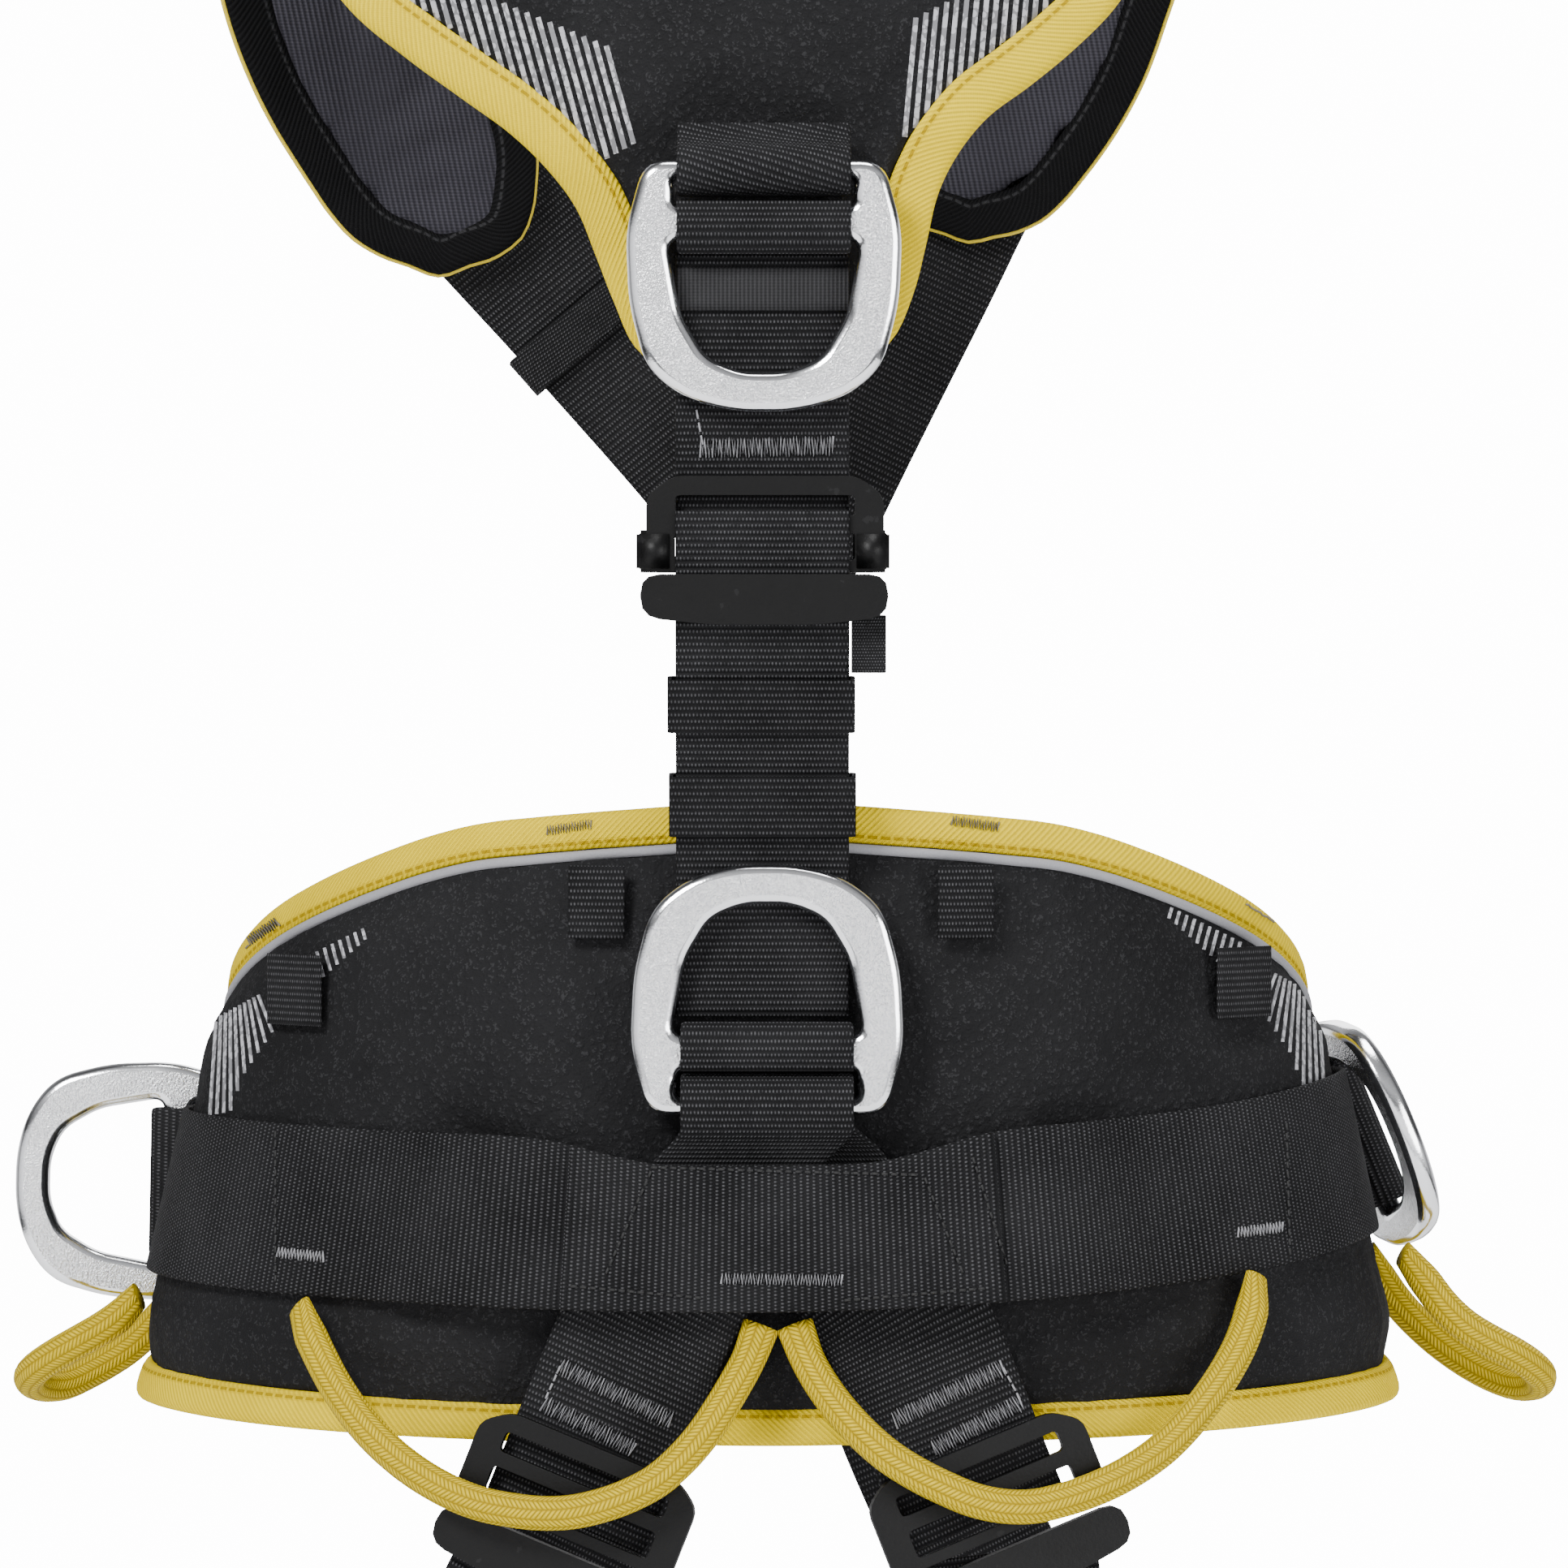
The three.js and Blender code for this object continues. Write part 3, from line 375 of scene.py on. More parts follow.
TAPE_YELLOW = (0.96, 0.72, 0.0)
TAPE_SHADE = (0.6, 0.42, 0.0)
TAPE_STITCH = (0.4, 0.26, 0.0)
MATERIALS = {
    "webbing": woven("webbing", grey(0.0012), grey(0.075)),
    "webbing_askew": woven("webbing_askew", grey(0.0012), grey(0.075), slant=0.3),
    "keeper": woven("keeper", grey(0.0012), grey(0.065), upright=True),
    "keeper_askew": woven("keeper_askew", grey(0.002), grey(0.08), 1.2, 0.8, slant=-0.7, upright=True),
    "tag": woven("tag", grey(0.003), grey(0.09), 0.8, 0.7, upright=True),
    "elastic": knitted_elastic("elastic", grey(0.005), grey(0.055)),
    "yellow_tape": twill("yellow_tape", TAPE_YELLOW, TAPE_SHADE, TAPE_STITCH, stitch_at=2.0, half=5),
    "yoke_tape": twill("yoke_tape", TAPE_YELLOW, TAPE_SHADE, TAPE_STITCH, stitch_at=2.2, half=6.5),
    "black_tape": twill("black_tape", grey(0.004), grey(0.012), grey(0.03), stitch_at=2.2, half=6),
    "pad_fabric": knit("pad_fabric", grey(0.0095), grey(0.035)),
    "lining": ribbed_lining("lining", (0.017, 0.0165, 0.021), (0.06, 0.058, 0.072)),
    "alloy": forged("alloy", (0.97, 0.975, 0.985), (0.55, 0.56, 0.58), rough=0.2, depth=0.3),
    "polished": forged("polished", (0.9, 0.91, 0.93), (0.8, 0.81, 0.83), rough=0.1, depth=0.02),
    "black_metal": coated("black_metal", grey(0.0015), grey(0.02)),
    "braid": braided("braid", (0.84, 0.62, 0.02), (0.54, 0.39, 0.01), (0.26, 0.17, 0.0)),
    "thread": thread_like("thread", grey(0.36), grey(0.2)),
    "tack_thread": thread_like("tack_thread", (0.24, 0.21, 0.15), (0.1, 0.09, 0.06)),
    "dark_thread": thread_like("dark_thread", grey(0.003), grey(0.012)),
    "yellow_thread": thread_like("yellow_thread", (0.8, 0.62, 0.02), (0.5, 0.36, 0.01)),
    "print": printed("print", grey(0.42), grey(0.12)),
    "piping": thread_like("piping", grey(0.3), grey(0.23)),
}


# ---------------- pieces
def in_scene(name, data):
    """A new object in the scene."""
    made = bpy.data.objects.new(name, data)
    bpy.context.scene.collection.objects.link(made)
    return made


def piece(name, mesh, body, material, slot, smooth=True):
    """A finished mesh as a named piece that rides on a CAD body."""
    made = in_scene(name, mesh)
    mesh.materials.clear()
    mesh.materials.append(MATERIALS[material])
    mesh.polygons.foreach_set("use_smooth", [smooth] * len(mesh.polygons))
    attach(made, body)
    return made


def stand_for(node, mesh, material=None, smooth=True):
    """A piece in place of a CAD node, on the same body."""
    slot = SLOT_OF[node]
    made = piece(node + "_look", mesh, BODY_OF[node], material or slot, slot, smooth)
    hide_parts(node)
    return made


def grid(rows, us, vs):
    """Points, faces and UV of a closed tube through rows of points; rows[i][j] has UV us[i], vs[j] in mm."""
    count, n = rows.shape[:2]
    faces = []
    uvs = []
    for i in range(count - 1):
        for j in range(n):
            k = (j + 1) % n
            faces.append((i * n + j, i * n + k, (i + 1) * n + k, (i + 1) * n + j))
            uvs += [(us[i], vs[j]), (us[i], vs[j + 1]), (us[i + 1], vs[j + 1]), (us[i + 1], vs[j])]
    for ring, u in ((range(n - 1, -1, -1), us[0]), (range((count - 1) * n, count * n), us[-1])):
        faces.append(tuple(ring))
        uvs += [(u, vs[k % n]) for k in ring]
    return rows.reshape(-1, 3), faces, uvs


def mesh_of(name, grids):
    """One mesh from several grids."""
    points, faces, uvs = [], [], []
    for spots, loops, places in grids:
        start = len(points)
        points += [tuple(p) for p in spots]
        faces += [tuple(start + k for k in loop) for loop in loops]
        uvs += places
    mesh = bpy.data.meshes.new(name)
    mesh.from_pydata(points, [], faces)
    layer = mesh.uv_layers.new(name="UVMap")
    layer.data.foreach_set("uv", np.array(uvs, np.float32).ravel())
    turn_outwards(mesh)
    return mesh


def turn_outwards(mesh):
    """Turns every face so that it points out of its solid."""
    bm = bmesh.new()
    bm.from_mesh(mesh)
    bmesh.ops.recalc_face_normals(bm, faces=bm.faces)
    bm.to_mesh(mesh)
    bm.free()


def welded(node):
    """A CAD node's mesh with the corners that meet joined into one."""
    bm = bmesh.new()
    bm.from_mesh(NODES[node].data)
    bmesh.ops.remove_doubles(bm, verts=bm.verts, dist=WELD)
    bm.verts.ensure_lookup_table()
    return bm


def rings(node, count):
    """A lofted node's rings of count points, in order along it, all starting at the same place."""
    bm = welded(node)
    near = [{e.other_vert(v).index for e in v.link_edges} for v in bm.verts]
    spots = np.array([v.co for v in bm.verts], float)
    bm.free()
    hub = next(
        i for i, around in enumerate(near)
        if len(around) == count and all(len(near[k]) == 5 for k in around)
    )
    seen = {hub}
    layer = set(near[hub])
    found = []
    while len(layer) == count:
        order = [min(layer)]
        while len(order) < count:
            order.append(min(k for k in near[order[-1]] & layer if k not in order))
        ring = spots[order]
        if found:
            turns = [np.roll(way, t, axis=0) for way in (ring, ring[::-1]) for t in range(count)]
            ring = min(turns, key=lambda way: np.linalg.norm(way - found[-1], axis=1).sum())
        found.append(ring)
        seen |= layer
        layer = set().union(*(near[k] for k in layer)) - seen
    return np.array(found)


def edge_lengths(found):
    """How long each side of a loft's rings is, added up over all the rings."""
    return np.linalg.norm(np.roll(found, -1, axis=1) - found, axis=2).sum(axis=0)


def strap_rows(node, count=4):
    """Centre, half width, half thickness and crown of a flat strap at each ring."""
    found = rings(node, count)
    lengths = edge_lengths(found)
    half = count // 2
    pairs = lengths[:half] + lengths[half:]
    found = np.roll(found, -((int(np.argmin(pairs)) + 1) % half), axis=1)
    a, b = found[:, :half], found[:, half:][:, ::-1]
    left, right = (a[:, 0] + b[:, 0]) / 2, (a[:, -1] + b[:, -1]) / 2
    centre, wide = (left + right) / 2, (right - left) / 2
    thick = (b - a).mean(axis=1) / 2
    middle = (a[:, half // 2] + b[:, half // 2]) / 2 if half % 2 else centre
    return np.stack([centre, wide, thick, middle - centre], axis=1)


def smoothed(rows, step):
    """Rows of vectors resampled about every step along their first vector, on a smooth curve."""
    spots = rows[:, 0]
    gaps = np.maximum(np.linalg.norm(np.diff(spots, axis=0), axis=1), 1e-7)
    slopes = np.diff(rows, axis=0) / gaps[:, None, None]
    before, after = gaps[:-1, None, None], gaps[1:, None, None]
    inner = (slopes[:-1] * after + slopes[1:] * before) / (before + after)
    tangents = np.concatenate([slopes[:1], inner, slopes[-1:]])
    made = []
    for i, gap in enumerate(gaps):
        parts = max(1, math.ceil(gap / step))
        for t in np.arange(parts) / parts:
            rise = t * t * (3 - 2 * t)
            bend = tangents[i] * t * (1 - t) ** 2 - tangents[i + 1] * t * t * (1 - t)
            made.append(rows[i] + (rows[i + 1] - rows[i]) * rise + bend * gap)
    made.append(rows[-1])
    return np.array(made)


def lengths_along(spots):
    """The distance in mm from the first point to each point of a line."""
    return np.concatenate([[0], np.cumsum(np.linalg.norm(np.diff(spots, axis=0), axis=1))]) / MM


def flat_section(across=9):
    """A thin strap's section: flat faces and rounded selvages, as shares of half width and thickness."""
    top = [(a, 1.0) for a in np.linspace(-0.95, 0.95, across)]
    right = [(0.985, 0.75), (1.0, 0.0), (0.985, -0.75)]
    return top + right + [(-a, -b) for a, b in top] + [(-a, -b) for a, b in right]


def circle(points):
    """Cosine and sine at even turns round a circle."""
    return [(math.cos(t), math.sin(t)) for t in np.linspace(0, 2 * math.pi, points, endpoint=False)]


def round_section(points=20, power=3.2):
    """A folded tape's section: a superellipse, between an oval and a bar."""
    return [tuple(math.copysign(abs(x) ** (2 / power), x) for x in spot) for spot in circle(points)]


def swept(name, rows, section, step=3.0, shape=None):
    """A mesh of a section carried along rows of centre, half width, half thickness and crown."""
    fine = smoothed(rows, step * MM)
    if shape is not None:
        fine = shape(fine)
    a = np.array([p[0] for p in section])
    b = np.array([p[1] for p in section])
    c, w, h, m = (fine[:, k][:, None, :] for k in range(4))
    points = c + w * a[None, :, None] + h * b[None, :, None] + m * (1 - a * a)[None, :, None]
    half = np.linalg.norm(fine[:, 1], axis=1).mean() / MM
    vs = list(a * half) + [a[0] * half]
    return mesh_of(name, [grid(points, lengths_along(fine[:, 0]), vs)])


# A direction that no thread or cord starts along.
ANY_WAY = (0.3, 0.2, 0.93)


def tube(spots, radius, sides):
    """A round thread or cord along spots, as a grid."""
    spots = np.array(spots, float)
    along = np.gradient(spots, axis=0)
    along /= np.linalg.norm(along, axis=1)[:, None]
    side = np.cross(along[0], ANY_WAY)
    rows = []
    for spot, way in zip(spots, along):
        side = side - way * (side @ way)
        side /= np.linalg.norm(side)
        up = np.cross(way, side)
        rows.append([spot + (side * a + up * b) * radius * MM for a, b in circle(sides)])
    vs = np.linspace(0, 2 * math.pi * radius, sides + 1)
    return grid(np.array(rows), lengths_along(spots), vs)


# ---------------- straps and bindings
FLAT = flat_section()
STRAPS = [
    "waist_band", "waist_centre_patch", "front_band", "waist_ring_wrap", "dorsal_ring_wrap",
    "side_flap_left", "side_flap_right", "leg_riser_left", "leg_riser_right",
    "back_strap_upper", "back_strap_lower", "dorsal_webbing", "dorsal_keeper", "front_strap",
    "leg_webbing_left", "leg_webbing_right", "leg_strap_left", "leg_strap_right",
    "leg_front_strap_left", "leg_front_strap_right",
]
WIDE_STRAPS = [
    "belt_tab_left_outer", "belt_tab_left_inner", "belt_tab_right_inner", "belt_tab_right_outer",
    "chest_strap_left", "chest_strap_right",
]
ASKEW = ["dorsal_webbing"]
# How far in mm the front leg straps go on past their CAD solids, to meet the front band.
FRONT_REACH = 5


def carried_up(rows, reach):
    """Strap rows with their upper end carried on by reach, in mm."""
    if rows[0, 0, 2] > rows[-1, 0, 2]:
        rows = rows[::-1]
    run = rows[-1, 0] - rows[-2, 0]
    top = rows[-1].copy()
    top[0] += run / np.linalg.norm(run) * reach * MM
    return np.concatenate([rows, [top]])


for strap_node in STRAPS:
    strap = strap_rows(strap_node)
    if strap_node.startswith("leg_front_strap"):
        strap = carried_up(strap, FRONT_REACH)
    made_strap = swept(strap_node, strap, FLAT)
    stand_for(strap_node, made_strap, "webbing_askew" if strap_node in ASKEW else None)
for strap_node in WIDE_STRAPS:
    stand_for(strap_node, swept(strap_node, strap_rows(strap_node, 6), FLAT))


def binding(node, pad, material):
    """A tape folded round a pad's edge; v grows towards the pad."""
    rows = strap_rows(node)
    middle = np.mean([v.co for v in NODES[pad].data.vertices], axis=0)
    reach = [np.linalg.norm(rows[:, 0] + side * rows[:, 1] - middle, axis=1).mean() for side in (-1, 1)]
    if reach[0] < reach[1]:
        rows[:, 1] *= -1
    stand_for(node, swept(node, rows, round_section()), material)
    return rows


waist_top = binding("waist_binding_top", "waist_pad", "yellow_tape")
binding("waist_binding_bottom", "waist_pad", "yellow_tape")
shoulder_edges = {}
for side in ("left", "right"):
    binding("yoke_binding_" + side, "yoke_pad", "yoke_tape")
    shoulder_edges[side] = binding("shoulder_binding_" + side, "shoulder_pad_" + side, "black_tape")


# ---------------- gear loops
# A cord's end goes on by CORD_REACH and is pressed flat over SEWN_END, moving in by PRESSED_IN, all in mm.
# It loses the share THINNER of its thickness and gains WIDER of its width.
CORD_REACH = 1.5
SEWN_END = 9
PRESSED_IN = 0.3
THINNER, WIDER = 0.5, 0.1
CORD_SIDES = 24


def pressed(fine):
    """The ends of a cord flattened against the body, where they are sewn in under the belt."""
    lengths = lengths_along(fine[:, 0])
    share = np.clip(1 - np.minimum(lengths, lengths[-1] - lengths) / SEWN_END, 0, 1)[:, None]
    out = (fine[:, 0] - (BELT_X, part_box("waist_band")[1].y / 2, 0)) * (1, 1, 0)
    out /= np.linalg.norm(out, axis=1)[:, None]
    fine[:, 0] -= out * share * PRESSED_IN * MM
    for k in (1, 2):
        through = (fine[:, k] * out).sum(axis=1)[:, None] * out
        fine[:, k] += ((fine[:, k] - through) * WIDER - through * THINNER) * share
    return fine


def wrap_uv(mesh, sides, around):
    """UV across a round cord that runs once round it, so that its braid closes up at the seam."""
    layer = mesh.uv_layers["UVMap"].data
    for face in mesh.polygons:
        corners = [mesh.loops[k].vertex_index % sides for k in face.loop_indices]
        wraps = max(corners) - min(corners) > sides / 2
        for k, corner in zip(face.loop_indices, corners):
            turn = sides if wraps and corner == 0 else corner
            layer[k].uv[1] = turn / sides * around


def gear_loop(node):
    """A round cord whose ends go on a little way under the belt's edge."""
    found = rings(node, 8)
    centre = found.mean(axis=1)
    a, b = found[:, 0] - centre, found[:, 2] - centre
    rows = np.stack([centre, a, b, centre * 0], axis=1)
    reach = [rows[end].copy() for end in (0, -1)]
    for row, end, inner in zip(reach, (0, -1), (1, -2)):
        run = centre[end] - centre[inner]
        row[0] += run / np.linalg.norm(run) * CORD_REACH * MM
    rows = np.concatenate([reach[:1], rows, reach[1:]])
    mesh = swept(node, rows, circle(CORD_SIDES), 2.5, pressed)
    wrap_uv(mesh, CORD_SIDES, np.linalg.norm(a, axis=1).mean() / MM * 2 * math.pi)
    stand_for(node, mesh)


for where in ("rear_left", "rear_right", "side_left", "side_right"):
    gear_loop("gear_loop_" + where)


# ---------------- pads: cloth over the CAD solids
# Each pad, and the voxel size of its cloth mesh in mm.
PADS = {
    "waist_pad": 4.5, "yoke_pad": 4.0, "shoulder_pad_left": 4.5, "shoulder_pad_right": 4.5,
    "leg_pad_left": 5.5, "leg_pad_right": 5.5,
}
PAD_SHRINK = 0.5 * MM
# How far a pad's edge reaches in under its binding, and how many times that for shoulders and for ends.
PAD_TUCK = 3.5 * MM
SHOULDER_TUCK = 1.8
END_TUCK = 1.4
# The farthest that the cloth may move a point.
PAD_CAP = 6 * MM
# Cloth is free this far from other parts and from its own sewn edge, and fully held HOLD_FADE nearer, in mm.
FREE_OF_PARTS, FREE_OF_EDGE, HOLD_FADE = 9, 12, 6
CLOTH_FRAMES = 20


def evaluated_mesh(obj):
    """The object's mesh with its modifiers applied."""
    graph = bpy.context.evaluated_depsgraph_get()
    graph.update()
    return bpy.data.meshes.new_from_object(obj.evaluated_get(graph))


def solids_but(node):
    """A tree of every other CAD node's surface, to keep a pad clear of whatever lies on it."""
    verts, faces = [], []
    for name, other in NODES.items():
        if name != node:
            start = len(verts)
            verts += [tuple(v.co) for v in other.data.vertices]
            faces += [tuple(start + k for k in p.vertices) for p in other.data.polygons]
    return BVHTree.FromPolygons(verts, faces)


def pad_rows(node):
    """The pad's rings of twelve points, one face first, with both edges reaching in under their bindings."""
    found = rings(node, 12)
    lengths = edge_lengths(found)
    pairs = lengths[:6] + lengths[6:]
    found = np.roll(found, -((int(np.argmax(pairs)) + 4) % 6), axis=1)
    if node.startswith("leg"):
        return found
    tuck = PAD_TUCK * (SHOULDER_TUCK if node.startswith("shoulder") else 1)
    for edge, inner in ((0, 1), (11, 10), (5, 4), (6, 7)):
        out = found[:, edge] - found[:, inner]
        found[:, edge] += out / np.linalg.norm(out, axis=1)[:, None] * tuck
    for end, inner in ((0, 1), (-1, -2)):
        out = found[end].mean(axis=0) - found[inner].mean(axis=0)
        found[end] += out / np.linalg.norm(out) * tuck * END_TUCK
    return found


def edge_tree(found):
    """The sewn edges of a pad as a tree of close points."""
    lines = [(found[:, 0] + found[:, 11]) / 2, (found[:, 5] + found[:, 6]) / 2]
    lines += [found[0, :6], found[-1, :6], found[0, 6:], found[-1, 6:]]
    spots = [a + (b - a) * k / 8 for line in lines for a, b in zip(line, line[1:]) for k in range(9)]
    tree = KDTree(len(spots))
    for k, spot in enumerate(spots):
        tree.insert(spot, k)
    tree.balance()
    return tree


def cloth_start(node, voxel):
    """A pad's mesh ready for cloth, held where it is sewn or lies against another part."""
    found = pad_rows(node)
    no_uv = [0.0] * (max(found.shape[:2]) + 1)
    mesh = mesh_of(node + "_cloth", [grid(found, no_uv, no_uv)])
    made = in_scene(node + "_cloth", mesh)
    remesh = made.modifiers.new("remesh", "REMESH")
    remesh.mode = "VOXEL"
    remesh.voxel_size = voxel * MM
    made.data = evaluated_mesh(made)
    made.modifiers.clear()
    normals = [v.normal.copy() for v in made.data.vertices]
    for v, n in zip(made.data.vertices, normals):
        v.co -= n * PAD_SHRINK
    others = solids_but(node)
    edges = edge_tree(found)
    held = made.vertex_groups.new(name="held")
    for v in made.data.vertices:
        by_solid = (FREE_OF_PARTS - others.find_nearest(v.co)[3] / MM) / HOLD_FADE
        by_edge = (FREE_OF_EDGE - edges.find(v.co)[2] / MM) / HOLD_FADE
        held.add([v.index], min(1.0, max(0.0, by_solid, by_edge)), "REPLACE")
    return made


def add_cloth(made):
    """Cloth that its pressure swells, without gravity, and that grows a little so that it can bulge."""
    cloth = made.modifiers.new("cloth", "CLOTH")
    settings = cloth.settings
    settings.quality = 6
    settings.mass = 0.2
    settings.use_pressure = True
    settings.uniform_pressure_force = 5
    settings.shrink_min = -0.02
    settings.bending_stiffness = 0.1
    settings.effector_weights.gravity = 0
    settings.vertex_group_mass = "held"
    cloth.point_cache.frame_start = 1
    cloth.point_cache.frame_end = CLOTH_FRAMES


def settle(pads):
    """Runs every pad's cloth together, then keeps each point within the cap of where it began."""
    scene = bpy.context.scene
    scene.frame_start, scene.frame_end = 1, CLOTH_FRAMES
    for made in pads.values():
        add_cloth(made)
    for number in range(1, CLOTH_FRAMES + 1):
        scene.frame_set(number)
    for made in pads.values():
        mesh = evaluated_mesh(made)
        made.modifiers.clear()
        for v, new in zip(made.data.vertices, mesh.vertices):
            move = new.co - v.co
            if move.length > PAD_CAP:
                move *= PAD_CAP / move.length
            v.co += move
    scene.frame_set(1)


pads = {node: cloth_start(node, voxel) for node, voxel in PADS.items()}
settle(pads)
for node, made in pads.items():
    made.modifiers.new("finer", "SUBSURF").levels = 1
    mesh = evaluated_mesh(made)
    bpy.data.objects.remove(made)
    stand_for(node, mesh)


# ---------------- metal
def local_frame(node, body=None):
    """Origin and axes of a flat metal piece: x along its flat bar, y towards its bow, z through it."""
    spots = np.array([v.co for v in NODES[node].data.vertices], float)
    if body in JOINTS:
        origin = np.array(JOINTS[body]["pos_m"])
        x = np.array(JOINTS[body]["axis"])
    else:
        origin = (spots.min(axis=0) + spots.max(axis=0)) / 2
        x = np.linalg.svd(spots - origin, full_matrices=False)[2][0]
    y = spots.mean(axis=0) - origin
    y -= x * (y @ x)
    y /= np.linalg.norm(y)
    return origin, x, y, np.cross(x, y)


def outline_curve(name, outlines, thick, bevel):
    """A flat plate with holes and rounded edges, from closed outlines in mm."""
    curve = bpy.data.curves.new(name, "CURVE")
    curve.dimensions = "2D"
    curve.fill_mode = "BOTH"
    curve.extrude = (thick / 2 - bevel) * MM
    curve.bevel_depth = bevel * MM
    curve.bevel_resolution = 2
    curve.offset = -bevel * MM
    curve.resolution_u = 1
    for outline in outlines:
        spline = curve.splines.new("POLY")
        spline.points.add(len(outline) - 1)
        for point, (x, y) in zip(spline.points, outline):
            point.co = (x * MM, y * MM, 0, 1)
        spline.use_cyclic_u = True
    holder = in_scene(name, curve)
    mesh = evaluated_mesh(holder)
    bpy.data.objects.remove(holder)
    return mesh


def eased(points, reach, parts=8):
    """A closed outline with each corner eased by a curve of the given reach."""
    made = []
    for i, point in enumerate(points):
        here = np.array(point, float)
        before, after = np.array(points[i - 1], float), np.array(points[(i + 1) % len(points)], float)
        start = here + (before - here) * min(reach / np.linalg.norm(before - here), 0.5)
        end = here + (after - here) * min(reach / np.linalg.norm(after - here), 0.5)
        for t in np.linspace(0, 1, parts):
            made.append(tuple(start * (1 - t) ** 2 + here * 2 * t * (1 - t) + end * t * t))
    return made


def mirrored(points):
    """A half outline and its mirror image, as one closed outline."""
    return points + [(-x, y) for x, y in reversed(points)]


# The half outlines of the largest ring, in mm from its bar, each with how far its corners are eased: the
# rim, the eye and the slot for the webbing.
RING_WIDTH, RING_LENGTH = 71, 65
RING_OUTLINES = [
    ([(31, 0), (35.8, 18), (34.9, 37), (30.5, 53.5), (20.5, 61.5), (8, 65)], 6),
    ([(25, 20.5), (21.5, 40), (15, 51), (6, 54.7)], 4),
    ([(23.4, 4.5), (23.4, 11.6)], 2),
]
RING_THICKNESS = 6.5
RING_CHAMFER = 2.3
BAR_MIDDLE = 2.25
RING_SIZES = {
    "dorsal_ring": (71, 65), "waist_ring": (71, 65), "side_ring_left": (66, 60), "side_ring_right": (66, 60),
    "sternal_ring": (48, 52), "ventral_ring": (48, 52),
}


def d_ring(node, width, length):
    """A forged D-ring with a slot for its webbing: grainy flat faces and polished chamfers."""
    origin, x, y, z = local_frame(node, BODY_OF[node])
    sx, sy = width / RING_WIDTH, length / RING_LENGTH
    outlines = []
    for half, reach in RING_OUTLINES:
        outlines.append(eased([(px * sx, py * sy) for px, py in mirrored(half)], reach))
    mesh = outline_curve(node, outlines, RING_THICKNESS, RING_CHAMFER)
    for v in mesh.vertices:
        v.co = origin + x * v.co.x + y * (v.co.y - BAR_MIDDLE * MM) + z * v.co.z
    turn_outwards(mesh)
    stand_for(node, mesh, "polished", smooth=False)
    mesh.materials.append(MATERIALS["alloy"])
    for face in mesh.polygons:
        is_flat = abs(face.normal.dot(Vector(z))) > 0.98
        face.material_index = int(is_flat)
        face.use_smooth = not is_flat


for ring_node, ring_size in RING_SIZES.items():
    d_ring(ring_node, *ring_size)


def finished_node(node, material, bevel):
    """A CAD node shown as it is, with softened edges and a procedural finish."""
    shown = NODES[node]
    shown.data.materials.clear()
    shown.data.materials.append(MATERIALS[material])
    weld = shown.modifiers.new("weld", "WELD")
    weld.merge_threshold = WELD
    edges = shown.modifiers.new("edges", "BEVEL")
    edges.width = bevel * MM
    edges.segments = 3
    edges.limit_method = "ANGLE"
    edges.angle_limit = math.radians(40)


BUCKLE_EDGE = 0.7
FABRIC_EDGE = 0.3
WEAVES = {
    "back_strap_keeper_upper": "keeper", "back_strap_keeper_lower": "keeper",
    "chest_keeper_left": "keeper_askew", "label_tag": "tag",
}
for node in NODES:
    if "buckle" in node:
        finished_node(node, "black_metal", BUCKLE_EDGE)
    elif node in WEAVES:
        finished_node(node, WEAVES[node], FABRIC_EDGE)

LUG_HEIGHT = 10.9
LUG_MIDDLE = 176.6
LUG_PROUD = 0.8
LUG_ROUND = 1.1


def lug(name, x_from, x_to):
    """A lug wrapped round a side bar of the back buckle; x is in mm from the middle of the belt."""
    low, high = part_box("back_buckle_frame")
    size = Vector((x_to - x_from, (high.y - low.y) / MM + 2 * LUG_PROUD, LUG_HEIGHT)) * MM
    centre = Vector((BELT_X + (x_from + x_to) / 2 * MM, (low.y + high.y) / 2, BELT_Z + LUG_MIDDLE * MM))
    bm = bmesh.new()
    bmesh.ops.create_cube(bm, size=1, matrix=Matrix.Translation(centre) @ Matrix.Diagonal((*size, 1)))
    bmesh.ops.bevel(bm, geom=bm.edges[:], offset=LUG_ROUND * MM, segments=3, affect="EDGES")
    mesh = bpy.data.meshes.new(name)
    bm.to_mesh(mesh)
    bm.free()
    piece(name, mesh, BODY_OF["back_buckle_frame"], "black_metal", "black_metal")


lug("back_buckle_lug_left", -33.8, -24.3)
lug("back_buckle_lug_right", 22.2, 31.7)


# ---------------- camera
# The camera stands behind the wearer at belt-to-yoke height, square to the back strap. In metres:
CAMERA_DISTANCE = 2.45
VIEW_WIDTH = 0.4082
# In mm, from the middle of the belt to the camera, and from the waist band's outermost face in to the strap:
CAMERA_RIGHT = 4.4
CAMERA_HEIGHT = 116.4
BAND_PROUD = 11.8
camera_data = bpy.data.cameras.new("camera")
camera_data.lens = camera_data.sensor_width * CAMERA_DISTANCE / VIEW_WIDTH
camera = in_scene("camera", camera_data)
back_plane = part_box("waist_band")[0].y + BAND_PROUD * MM
camera.location = (BELT_X + CAMERA_RIGHT * MM, back_plane - CAMERA_DISTANCE, BELT_Z + CAMERA_HEIGHT * MM)
camera.rotation_euler = (math.pi / 2, 0, 0)
bpy.context.scene.camera = camera


# ---------------- prints, stitching and piping
# Places here are in mm as seen from the camera, measured on the plane of the back strap from BELT_X, BELT_Z.
# The radius of a thread, how far threads and prints stand off the surface, and a print's thickness.
THREAD = 0.3
SEAM_THREAD = 0.38
THREAD_LIFT = 0.25
PRINT_LIFT = 0.2
PRINT_THICKNESS = 0.35


